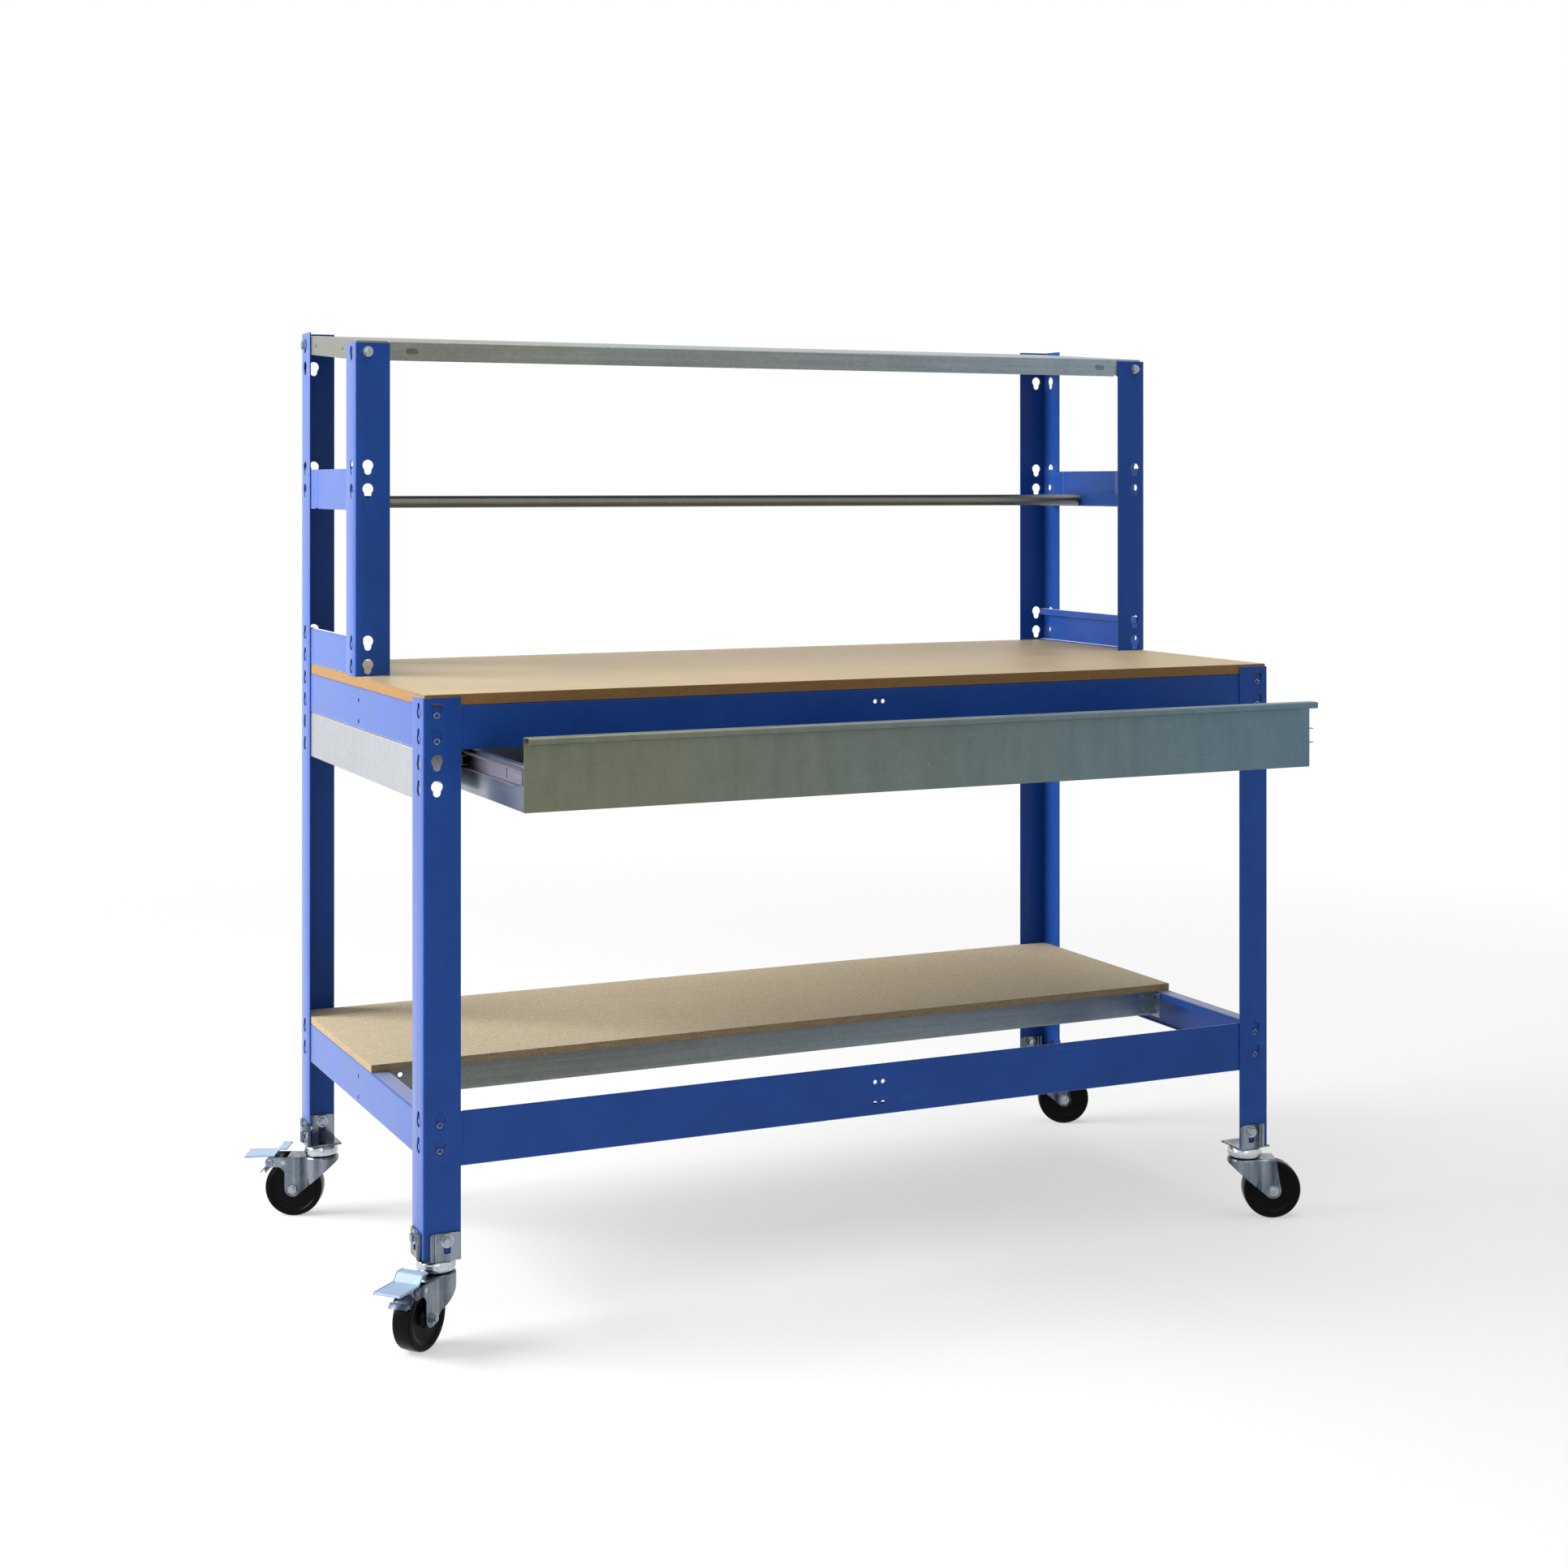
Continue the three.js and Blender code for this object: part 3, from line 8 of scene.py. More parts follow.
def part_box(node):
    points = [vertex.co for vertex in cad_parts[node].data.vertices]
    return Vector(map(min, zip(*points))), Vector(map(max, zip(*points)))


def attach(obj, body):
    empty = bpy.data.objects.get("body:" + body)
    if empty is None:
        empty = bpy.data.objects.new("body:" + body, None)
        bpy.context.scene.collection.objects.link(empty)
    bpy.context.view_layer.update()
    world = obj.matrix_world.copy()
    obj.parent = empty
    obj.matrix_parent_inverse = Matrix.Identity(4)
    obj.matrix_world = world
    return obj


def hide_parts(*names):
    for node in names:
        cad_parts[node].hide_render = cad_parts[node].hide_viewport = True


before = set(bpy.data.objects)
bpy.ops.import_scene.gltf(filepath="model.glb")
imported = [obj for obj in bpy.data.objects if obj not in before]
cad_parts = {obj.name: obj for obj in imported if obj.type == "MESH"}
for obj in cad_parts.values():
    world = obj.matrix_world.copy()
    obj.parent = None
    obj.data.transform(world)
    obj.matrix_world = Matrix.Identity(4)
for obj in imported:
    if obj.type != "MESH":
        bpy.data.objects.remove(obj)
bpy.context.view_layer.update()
mm = 0.001
quarterTurn = math.pi / 2
identity = Matrix.Identity(4)
print("frame loaded")

# Shapes are drawn in millimetres and placed in metres by a matrix.

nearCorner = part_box("leg_front_left")[0]
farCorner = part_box("post_rear_right")[1]
footHeight = nearCorner.z
middleX = (nearCorner.x + farCorner.x) / 2
middleY = (nearCorner.y + farCorner.y) / 2
benchWidth = (farCorner.x - nearCorner.x) / mm
benchDepth = (farCorner.y - nearCorner.y) / mm

corners = {
    "front_left": (nearCorner.x, nearCorner.y, 1, 1),
    "front_right": (farCorner.x, nearCorner.y, -1, 1),
    "rear_left": (nearCorner.x, farCorner.y, 1, -1),
    "rear_right": (farCorner.x, farCorner.y, -1, -1),
}


def sizeOf(node):
    # a node's box in metres, and its width, depth and height in millimetres
    low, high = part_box(node)
    return low, high, [(b - a) / mm for a, b in zip(low, high)]


def levelOf(node, end=1):
    # a node's top or bottom in millimetres over the posts' feet
    return (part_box(node)[end].z - footHeight) / mm


def at(x, y, z, turn=0.0, tilt=0.0):
    turned = Matrix.Rotation(turn, 4, "Z") @ Matrix.Rotation(tilt, 4, "X")
    return Matrix.Translation((x, y, z)) @ turned @ Matrix.Scale(mm, 4)


def mirrored(x, y, z, flipX, flipY=1):
    return Matrix.Translation((x, y, z)) @ Matrix.Diagonal((flipX, flipY, 1, 1)) @ Matrix.Scale(mm, 4)


def inCorner(name, z, y=None):
    x, cornerY, flipX, flipY = corners[name]
    return mirrored(x, cornerY if y is None else y, z, flipX, flipY)


def facing(place, x, y, z):
    return (place.to_3x3() @ Vector((x, y, z))).normalized()


# Outlines

def arc(a, b, radius, start, end, steps):
    turns = [start + (end - start) * i / steps for i in range(steps + 1)]
    return [Vector((a + radius * math.cos(t), b + radius * math.sin(t))) for t in turns]


def arcs(radius, steps, *turns):
    # each turn is a middle and its two angles, in quarter turns
    return [p for a, b, start, end in turns
            for p in arc(a, b, radius, start * quarterTurn, end * quarterTurn, steps)]


def roundOutline(a, b, radius, steps=24):
    return arc(a, b, radius, 0, math.tau, steps)[:-1]


def boxOutline(a0, a1, b0, b1, radius=0.0, steps=4):
    if not radius:
        return [Vector(p) for p in ((a0, b0), (a1, b0), (a1, b1), (a0, b1))]
    return arcs(radius, steps, (a1 - radius, b0 + radius, -1, 0), (a1 - radius, b1 - radius, 0, 1),
                (a0 + radius, b1 - radius, 1, 2), (a0 + radius, b0 + radius, 2, 3))


def slotOutline(a, b, length, width, steps=8):
    end = (length - width) / 2
    return arcs(width / 2, steps, (a + end, b, -1, 1), (a - end, b, 1, 3))


def filleted(points, radius, steps=5):
    # rounds the inner corners of an open line
    points = [Vector(p) for p in points]
    line = [points[0]]
    straight, share = 0.01, 0.49
    for before, here, after in zip(points, points[1:], points[2:]):
        into, out = (here - before).normalized(), (after - here).normalized()
        turn = into.angle_signed(out)
        if abs(turn) < straight:
            line.append(here)
            continue
        shortest = min((here - before).length, (after - here).length)
        reach = min(radius * math.tan(abs(turn) / 2), shortest * share)
        first, last = here - into * reach, here + out * reach
        for i in range(steps + 1):
            t = i / steps
            line.append(first.lerp(here, t).lerp(here.lerp(last, t), t))
    return [*line, points[-1]]


def offsetLine(line, reach, sharpest=0.3):
    sides = []
    for i, point in enumerate(line):
        into = (point - line[i - 1]).normalized() if i else None
        out = (line[i + 1] - point).normalized() if i + 1 < len(line) else None
        along = ((into or out) + (out or into)).normalized()
        across = Vector((-along.y, along.x))
        stretch = 1 / max(sharpest, along.dot(out or into))
        sides.append(point + across * reach * stretch)
    return sides


# Mesh parts: each call adds one closed shell to the piece that is being built

def spread(axis, point, s):
    a, b = point[0], point[1]
    return Vector({"x": (s, a, b), "y": (a, s, b), "z": (a, b, s)}[axis])


def newObject(name, data):
    holder = bpy.data.objects.new(name, data)
    bpy.context.collection.objects.link(holder)
    return holder


def evaluatedMesh(holder):
    return bpy.data.meshes.new_from_object(holder.evaluated_get(bpy.context.evaluated_depsgraph_get()))


def absorb(target, part, place):
    weld = 0.0004
    bmesh.ops.remove_doubles(part, verts=part.verts, dist=weld)
    part.transform(place)
    bmesh.ops.recalc_face_normals(part, faces=part.faces)
    scratch = bpy.data.meshes.new("scratch")
    part.to_mesh(scratch)
    part.free()
    target.from_mesh(scratch)
    bpy.data.meshes.remove(scratch)


def addSheet(target, place, path, thickness, start, end, axis="x", bend=0.0, steps=5):
    line = filleted(path, bend, steps) if bend else [Vector(p) for p in path]
    spans = range(len(line) - 1)
    part = bmesh.new()
    rims = []
    for s in (start, end):
        left, right = [[part.verts.new(spread(axis, p, s)) for p in offsetLine(line, reach)]
                       for reach in (thickness / 2, -thickness / 2)]
        rims.append((left, right))
        for i in spans:
            part.faces.new((left[i], left[i + 1], right[i + 1], right[i]))
    for near, far in zip(*rims):
        for i in spans:
            part.faces.new((near[i], near[i + 1], far[i + 1], far[i]))
    for i in (0, -1):
        part.faces.new((rims[0][0][i], rims[0][1][i], rims[1][1][i], rims[1][0][i]))
    absorb(target, part, place)


def addPlate(target, place, outline, holes, start, thickness, axis="z", edge=0.25):
    # a flat plate with softly rounded rims, drawn as a filled curve
    curve = bpy.data.curves.new("outline", "CURVE")
    curve.dimensions, curve.fill_mode = "2D", "BOTH"
    curve.extrude = thickness / 2 - edge
    curve.bevel_depth, curve.bevel_resolution, curve.offset = edge, 1, -edge
    for loop in [outline, *holes]:
        spline = curve.splines.new("POLY")
        spline.points.add(len(loop) - 1)
        for knot, point in zip(spline.points, loop):
            knot.co = (point[0], point[1], 0, 1)
        spline.use_cyclic_u = True
    holder = newObject("outline", curve)
    mesh = evaluatedMesh(holder)
    part = bmesh.new()
    part.from_mesh(mesh)
    for vert in part.verts:
        vert.co = spread(axis, vert.co, start + thickness / 2 + vert.co.z)
    bpy.data.objects.remove(holder)
    bpy.data.curves.remove(curve)
    bpy.data.meshes.remove(mesh)
    absorb(target, part, place)


def addRevolved(target, place, profile, sides=64, axis="z"):
    part = bmesh.new()
    rings = []
    tiny = 1e-6
    closed = (Vector(profile[0]) - Vector(profile[-1])).length < tiny
    turns = [math.tau * i / sides for i in range(sides)]
    for radius, height in profile[:-1] if closed else profile:
        points = [(radius * math.cos(t), radius * math.sin(t)) for t in turns] if radius > tiny else [(0, 0)]
        rings.append([part.verts.new(spread(axis, p, height)) for p in points])
    pairs = list(zip(rings, rings[1:]))
    if closed:
        pairs.append((rings[-1], rings[0]))
    for low, high in pairs:
        for i in range(sides):
            j = (i + 1) % sides
            around = [low[i % len(low)], low[j % len(low)], high[j % len(high)], high[i % len(high)]]
            part.faces.new(list(dict.fromkeys(around)))
    absorb(target, part, place)


def addBar(target, place, outline, start, end, axis="z", bevel=0.0, bevelSteps=2):
    part = bmesh.new()
    low, high = [[part.verts.new(spread(axis, p, s)) for p in outline] for s in (start, end)]
    caps = [part.faces.new(low), part.faces.new(high)]
    for i in range(len(outline)):
        j = (i + 1) % len(outline)
        part.faces.new((low[i], low[j], high[j], high[i]))
    if bevel:
        part.normal_update()
        leastTurn = math.radians(28)
        sharp = [e for e in part.edges if e.calc_face_angle(0) > leastTurn]
        bmesh.ops.bevel(part, geom=sharp, offset=bevel, segments=bevelSteps, affect="EDGES", clamp_overlap=True)
    else:
        bmesh.ops.triangulate(part, faces=caps)
    absorb(target, part, place)


# Boolean steps: each builder draws into a scratch mesh at the origin

def solidOf(build):
    part = bmesh.new()
    build(part)
    mesh = bpy.data.meshes.new("solid")
    part.to_mesh(mesh)
    part.free()
    return newObject("solid", mesh)


def folded(line, wall, start, end, axis, bend):
    return lambda part: addSheet(part, identity, line, wall, start, end, axis, bend)


def drills(outlines, start, end, axis="y"):
    def build(part):
        for outline in outlines:
            addBar(part, identity, outline, start, end, axis)
    return build


def barSolid(outline, start, end, axis="y"):
    return solidOf(drills([outline], start, end, axis))


def carved(base, steps):
    for operation, tool in steps:
        step = base.modifiers.new("carve", "BOOLEAN")
        step.operation, step.object, step.solver = operation, tool, "EXACT"
    mesh = evaluatedMesh(base)
    for holder in [base, *[tool for _, tool in steps]]:
        bpy.data.objects.remove(holder)
    return mesh


def punched(build, *cuts):
    # what the first call draws, less what the others draw
    return carved(solidOf(build), [("DIFFERENCE", solidOf(cut)) for cut in cuts])


def addMesh(target, mesh, place):
    part = bmesh.new()
    part.from_mesh(mesh)
    absorb(target, part, place)


def addPiece(name, target, finishes, body="frame", covers=(), sharp=32):
    mesh = bpy.data.meshes.new(name)
    target.to_mesh(mesh)
    target.free()
    piece = newObject(name, mesh)
    for finish in finishes:
        mesh.materials.append(finish)
    mesh.shade_smooth()
    mesh.set_sharp_from_angle(angle=math.radians(sharp))
    flatten = piece.modifiers.new("flatNormals", "WEIGHTED_NORMAL")
    flatten.mode = "FACE_AREA_WITH_ANGLE"
    flatten.weight = 80
    flatten.keep_sharp = True
    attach(piece, body)
    if covers:
        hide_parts(*covers)


def dress(node, target, finishes, body="frame", sharp=32):
    addPiece(f"{node}_dressed", target, finishes, body, [node], sharp)


# Nodes, for shaders and for geometry

def feed(tree, value, socket):
    if isinstance(value, bpy.types.NodeSocket):
        tree.links.new(value, socket)
    else:
        socket.default_value = value


def addNode(tree, kind, output, inputs=None, **fields):
    node = tree.nodes.new(kind)
    for field, value in fields.items():
        setattr(node, field, value)
    for key, value in (inputs or {}).items():
        feed(tree, value, node.inputs[key])
    return node.outputs[output]


def newGroup(kind, name, inputs, outputs):
    # an input is a number or the name of its kind of socket
    group = bpy.data.node_groups.new(name, kind)
    for label, value in inputs.items():
        named = isinstance(value, str)
        socket = group.interface.new_socket(name=label, in_out="INPUT",
                                            socket_type=f"NodeSocket{value if named else 'Float'}")
        if not named:
            socket.default_value = value
    for label, value in outputs.items():
        group.interface.new_socket(name=label, in_out="OUTPUT", socket_type=f"NodeSocket{value}")
    return group, group.nodes.new("NodeGroupInput").outputs, group.nodes.new("NodeGroupOutput").inputs


def mathNode(tree, operation, first, second):
    return addNode(tree, "ShaderNodeMath", "Value", {0: first, 1: second}, operation=operation)


def scaled(tree, value, factor):
    return mathNode(tree, "MULTIPLY", value, factor)


def weighted(tree, first, firstShare, second, secondShare):
    return mathNode(tree, "ADD", scaled(tree, first, firstShare), scaled(tree, second, secondShare))


def objectPlace(tree):
    return addNode(tree, "ShaderNodeTexCoord", "Object")


def stretched(tree, scale, turn=(0, 0, 0)):
    return addNode(tree, "ShaderNodeMapping", "Vector",
                   {"Vector": objectPlace(tree), "Scale": scale, "Rotation": turn})


def noiseNode(tree, vector, scale, detail=4.0, roughness=0.55):
    return addNode(tree, "ShaderNodeTexNoise", "Fac",
                   {"Vector": vector, "Scale": scale, "Detail": detail, "Roughness": roughness})


def rampNode(tree, value, low, high, outLow=0.0, outHigh=1.0):
    return addNode(tree, "ShaderNodeMapRange", "Result",
                   {"Value": value, "From Min": low, "From Max": high, "To Min": outLow, "To Max": outHigh})


def blendColors(tree, mask, first, second):
    return addNode(tree, "ShaderNodeMix", "Result", {"Factor": mask, "A": first, "B": second}, data_type="RGBA")


def useGroup(tree, group, **values):
    return addNode(tree, "ShaderNodeGroup", 0, values, node_tree=group)


# Shader groups

def buildMottle():
    # soft uneven patches, as on rolled sheet, board faces and handled paint; on plated parts the same patches
    # are painted reflection
    group, given, result = newGroup("ShaderNodeTree", "softMottle", {"Scale": 12.0, "Strength": 0.5},
                                    {"Mask": "Float"})
    wide = noiseNode(group, objectPlace(group), given["Scale"], 3)
    fine = noiseNode(group, objectPlace(group), scaled(group, given["Scale"], 7.3), 4)
    centred = mathNode(group, "SUBTRACT", weighted(group, wide, 0.7, fine, 0.3), 0.5)
    group.links.new(mathNode(group, "ADD", scaled(group, centred, given["Strength"]), 0.5), result["Mask"])
    return group


def buildScratches():
    # thin sparse scratches in two crossing directions
    group, given, result = newGroup("ShaderNodeTree", "thinScratches", {"Amount": 0.4}, {"Mask": "Float"})
    masks = []
    for turn, size in (((0.3, 0.2, 0.7), (6, 190, 130)), ((-0.4, 0.5, -0.6), (150, 5, 170))):
        masks.append(rampNode(group, noiseNode(group, stretched(group, size, turn), 1.0, 2), 0.67, 0.74))
    patches = rampNode(group, noiseNode(group, objectPlace(group), 5.0, 2), 0.45, 0.65)
    kept = scaled(group, mathNode(group, "MAXIMUM", *masks), patches)
    group.links.new(scaled(group, kept, given["Amount"]), result["Mask"])
    return group


def buildSpangle():
    # the crystal flakes of hot-dip zinc
    group, given, result = newGroup("ShaderNodeTree", "zincSpangle", {"Scale": 70.0}, {"Flake": "Float"})
    place = objectPlace(group)
    warp = addNode(group, "ShaderNodeTexNoise", "Color", {"Vector": place, "Scale": 40})
    shifted = addNode(group, "ShaderNodeVectorMath", "Vector", {0: warp, 1: (0.012, 0.012, 0.012), 2: place},
                      operation="MULTIPLY_ADD")
    cells = addNode(group, "ShaderNodeTexVoronoi", "Color", {"Vector": shifted, "Scale": given["Scale"]})
    group.links.new(addNode(group, "ShaderNodeSeparateColor", "Red", {"Color": cells}), result["Flake"])
    return group


mottle = buildMottle()
scratches = buildScratches()
spangle = buildSpangle()


# Finishes

def linear(*colour):
    # from the usual scale of 0 to 255 to linear light
    knee = 10
    return (*(((c / 255 + 0.055) / 1.055) ** 2.4 if c > knee else c / 255 / 12.92 for c in colour), 1)


def lifted(colour, gain, rise=0.0):
    return (*(min(1, c * gain + rise) for c in colour[:3]), 1)


def newFinish(name, constants):
    finish = bpy.data.materials.new(name)
    finish.use_nodes = True
    shader = finish.node_tree.nodes["Principled BSDF"]
    for label, value in constants.items():
        shader.inputs[label].default_value = value
    return finish, finish.node_tree, shader


def coat(tree, shader, base, roughness, height, strength, distance):
    bump = addNode(tree, "ShaderNodeBump", "Normal",
                   {"Strength": strength, "Distance": distance, "Height": height})
    for label, value in (("Base Color", base), ("Roughness", roughness), ("Normal", bump)):
        feed(tree, value, shader.inputs[label])


def powderCoat(name, deep, light):
    finish, tree, shader = newFinish(name, {"Specular IOR Level": 0.2, "Sheen Weight": 1.0,
                                            "Sheen Roughness": 0.28})
    patches = useGroup(tree, mottle, Scale=9.0, Strength=0.9)
    base = blendColors(tree, rampNode(tree, patches, 0.3, 0.7), deep, light)
    rubbed = useGroup(tree, scratches, Amount=0.28)
    peel = noiseNode(tree, objectPlace(tree), 620.0, 2)
    coat(tree, shader, blendColors(tree, rubbed, base, lifted(light, 1.6, 0.02)),
         rampNode(tree, patches, 0.3, 0.7, 0.3, 0.42), peel, 0.12, 0.0004)
    return finish


def zincSheet(name, dark, pale, roughLow, roughHigh, rolled, flake=0.16, reflectionDrift=None):
    finish, tree, shader = newFinish(name, {"Metallic": 0.9})
    worn = useGroup(tree, scratches, Amount=0.35)
    clouds = useGroup(tree, mottle, Scale=3.0, Strength=1.0)
    lines = noiseNode(tree, stretched(tree, rolled), 1.0, 4)
    flakes = scaled(tree, useGroup(tree, spangle, Scale=210.0), flake)
    shade = mathNode(tree, "ADD", flakes, weighted(tree, clouds, 0.6 - flake, lines, 0.4))
    tone = rampNode(tree, shade, 0.28, 0.72)
    base = blendColors(tree, tone, dark, pale)
    if reflectionDrift:
        # painted reflection: the colour shifts slowly from left to right, standing for the surroundings
        # mirrored across the sheet
        across = addNode(tree, "ShaderNodeSeparateXYZ", "X", {"Vector": objectPlace(tree)})
        base = blendColors(tree, rampNode(tree, across, -0.5, 0.7), base, blendColors(tree, tone, *reflectionDrift))
    coat(tree, shader, blendColors(tree, worn, base, lifted(pale, 1.3)),
         rampNode(tree, shade, 0.25, 0.75, roughHigh, roughLow), lines, 0.05, 0.0003)
    return finish


def platedZinc(name, dark, pale, reflectionBanding):
    # painted reflection: dark and pale patches and horizontal bands in the colour stand for the surroundings
    # mirrored in the plated metal
    finish, tree, shader = newFinish(name, {"Metallic": 1.0})
    clouds = useGroup(tree, mottle, Scale=22.0, Strength=0.9)
    bands = noiseNode(tree, stretched(tree, (46, 46, 3)), 1.0, 2)
    reach = 0.16 * (1 - reflectionBanding / 2)
    tone = rampNode(tree, weighted(tree, clouds, 1 - reflectionBanding, bands, reflectionBanding), 0.5 - reach, 0.5 + reach)
    coat(tree, shader, blendColors(tree, tone, dark, pale), rampNode(tree, clouds, 0.3, 0.7, 0.14, 0.24),
         useGroup(tree, scratches, Amount=1.0), 0.08, 0.0002)
    return finish


def barSteel():
    finish, tree, shader = newFinish("bar_steel", {"Metallic": 1.0})
    drawn = noiseNode(tree, stretched(tree, (3, 420, 420)), 1.0, 3)
    tone = weighted(tree, drawn, 0.5, useGroup(tree, mottle, Scale=16.0, Strength=1.0), 0.5)
    coat(tree, shader, blendColors(tree, tone, linear(92, 94, 90), linear(138, 140, 136)),
         rampNode(tree, tone, 0.3, 0.7, 0.28, 0.44), drawn, 0.08, 0.0002)
    return finish


def hardboardFace():
    finish, tree, shader = newFinish("hardboard_face", {})
    clouds = useGroup(tree, mottle, Scale=6.0, Strength=1.2)
    fibres = noiseNode(tree, stretched(tree, (90, 260, 90)), 1.0, 6, 0.7)
    specks = rampNode(tree, noiseNode(tree, objectPlace(tree), 420.0, 3), 0.6, 0.72)
    tone = rampNode(tree, weighted(tree, clouds, 0.62, fibres, 0.38), 0.32, 0.68)
    base = blendColors(tree, tone, linear(160, 138, 102), linear(188, 168, 130))
    dotted = blendColors(tree, scaled(tree, specks, 0.35), base, linear(112, 86, 54))
    rubbed = useGroup(tree, scratches, Amount=0.35)
    coat(tree, shader, blendColors(tree, rubbed, dotted, linear(204, 188, 154)),
         rampNode(tree, clouds, 0.3, 0.7, 0.4, 0.56), fibres, 0.1, 0.0004)
    return finish


def boardEdge(name, dark, pale, layers):
    # the sawn edge: pressed layers and torn fibres
    finish, tree, shader = newFinish(name, {})
    bands = noiseNode(tree, stretched(tree, (60, 60, layers)), 1.0, 3)
    grain = noiseNode(tree, objectPlace(tree), 330.0, 4, 0.7)
    tone = rampNode(tree, weighted(tree, bands, 0.35, grain, 0.65), 0.3, 0.7)
    coat(tree, shader, blendColors(tree, tone, dark, pale), 0.85, grain, 0.35, 0.0006)
    return finish


def chipboardFace():
    finish, tree, shader = newFinish("chipboard_face", {})
    chips = []
    for size, turn in (((520, 230, 400), 0.5), ((210, 480, 400), -0.7)):
        cells = addNode(tree, "ShaderNodeTexVoronoi", "Color",
                        {"Vector": stretched(tree, size, (0, 0, turn)), "Scale": 1.0})
        chips.append(addNode(tree, "ShaderNodeSeparateColor", "Red", {"Color": cells}))
    flakes = scaled(tree, mathNode(tree, "ADD", *chips), 0.5)
    clouds = useGroup(tree, mottle, Scale=5.0, Strength=0.8)
    tone = rampNode(tree, weighted(tree, flakes, 0.6, clouds, 0.4), 0.15, 0.85)
    base = blendColors(tree, tone, linear(170, 154, 124), linear(208, 194, 166))
    dark = rampNode(tree, noiseNode(tree, objectPlace(tree), 300.0, 3), 0.63, 0.7)
    specked = blendColors(tree, scaled(tree, dark, 0.6), base, linear(104, 80, 52))
    coat(tree, shader, specked, 0.8, flakes, 0.1, 0.0003)
    return finish


def moulded(name, dark, pale, roughLow, roughHigh, grain, gloss):
    finish, tree, shader = newFinish(name, {"Specular IOR Level": gloss})
    clouds = useGroup(tree, mottle, Scale=30.0, Strength=1.0)
    rubbed = useGroup(tree, scratches, Amount=0.3)
    worn = blendColors(tree, rubbed, blendColors(tree, clouds, dark, pale), lifted(pale, 1.8, 0.03))
    coat(tree, shader, worn, rampNode(tree, clouds, 0.3, 0.7, roughLow, roughHigh),
         noiseNode(tree, objectPlace(tree), grain, 2), 0.1, 0.0003)
    return finish


bluePaint = powderCoat("blue_powder_coat", linear(17, 62, 136), linear(25, 74, 156))
sheetZinc = zincSheet("galvanised_sheet", linear(150, 154, 158), linear(184, 188, 194), 0.3, 0.42,
                      (260, 260, 5))
trayZinc = zincSheet("tray_sheet", linear(124, 132, 142), linear(160, 168, 178), 0.18, 0.3, (9, 9, 9), 0.06)
# painted reflection: the drawer front gets a darker, greener sheet colour than the other galvanised parts,
# standing for the dark surroundings it mirrors, plus a painted reflection drift from left to right
frontZinc = zincSheet("drawer_front_sheet", linear(98, 102, 86), linear(118, 122, 106), 0.34, 0.44,
                      (40, 40, 9), 0.06, (linear(80, 104, 116), linear(98, 122, 136)))
# the shelf sheet's last pair of colours is a painted reflection drift from left to right
shelfZinc = zincSheet("shelf_sheet", linear(102, 106, 96), linear(134, 138, 130), 0.3, 0.4,
                      (4, 260, 260), 0.1, (linear(112, 124, 132), linear(144, 158, 168)))
slideZinc = zincSheet("slide_sheet", linear(100, 97, 108), linear(128, 125, 138), 0.4, 0.52,
                      (260, 6, 260), 0.04)
# painted reflection: each plated finish mixes a dark and a pale tone for mirrored surroundings; the caster
# zinc's near-black tone is painted dark reflection
boltZinc = platedZinc("bright_zinc", linear(118, 126, 136), linear(184, 190, 196), 0.3)
casterZinc = platedZinc("caster_zinc", linear(46, 54, 66), linear(134, 144, 154), 0.7)
headZinc = platedZinc("head_zinc", linear(156, 164, 171), linear(208, 212, 216), 0.2)
rollSteel = barSteel()
hardboard = hardboardFace()
hardboardEdge = boardEdge("hardboard_edge", linear(116, 84, 44), linear(152, 116, 66), 900)
chipboard = chipboardFace()
chipboardEdge = boardEdge("chipboard_edge", linear(112, 92, 64), linear(176, 154, 118), 400)
wheelBlack = moulded("wheel_black", linear(6, 6, 7), linear(12, 12, 14), 0.2, 0.32, 380.0, 0.07)
pedalBlue = moulded("pedal_grey_blue", linear(138, 160, 184), linear(158, 180, 204), 0.3, 0.42, 500.0, 0.5)
print("finishes made")


# Geometry Nodes trees for what repeats: rivets, hex bolts and balls

def placedShape(tree, shape, rise, **size):
    # size gives the scale along X, Y and Z where the shape is stretched
    vectors = {"Translation": {"Z": rise}, **({"Scale": size} if size else {})}
    inputs = {label: addNode(tree, "ShaderNodeCombineXYZ", "Vector", parts) for label, parts in vectors.items()}
    return addNode(tree, "GeometryNodeTransform", "Geometry", {"Geometry": shape, **inputs})


def rodNode(tree, sides, radius, depth, rise):
    rod = addNode(tree, "GeometryNodeMeshCylinder", "Mesh",
                  {"Vertices": sides, "Radius": radius, "Depth": depth})
    return placedShape(tree, rod, rise)


def domeNode(tree, radius, height, rise, segments=24, rings=10):
    ball = addNode(tree, "GeometryNodeMeshUVSphere", "Mesh",
                   {"Segments": segments, "Rings": rings, "Radius": 1.0})
    return placedShape(tree, ball, rise, X=radius, Y=radius, Z=height)


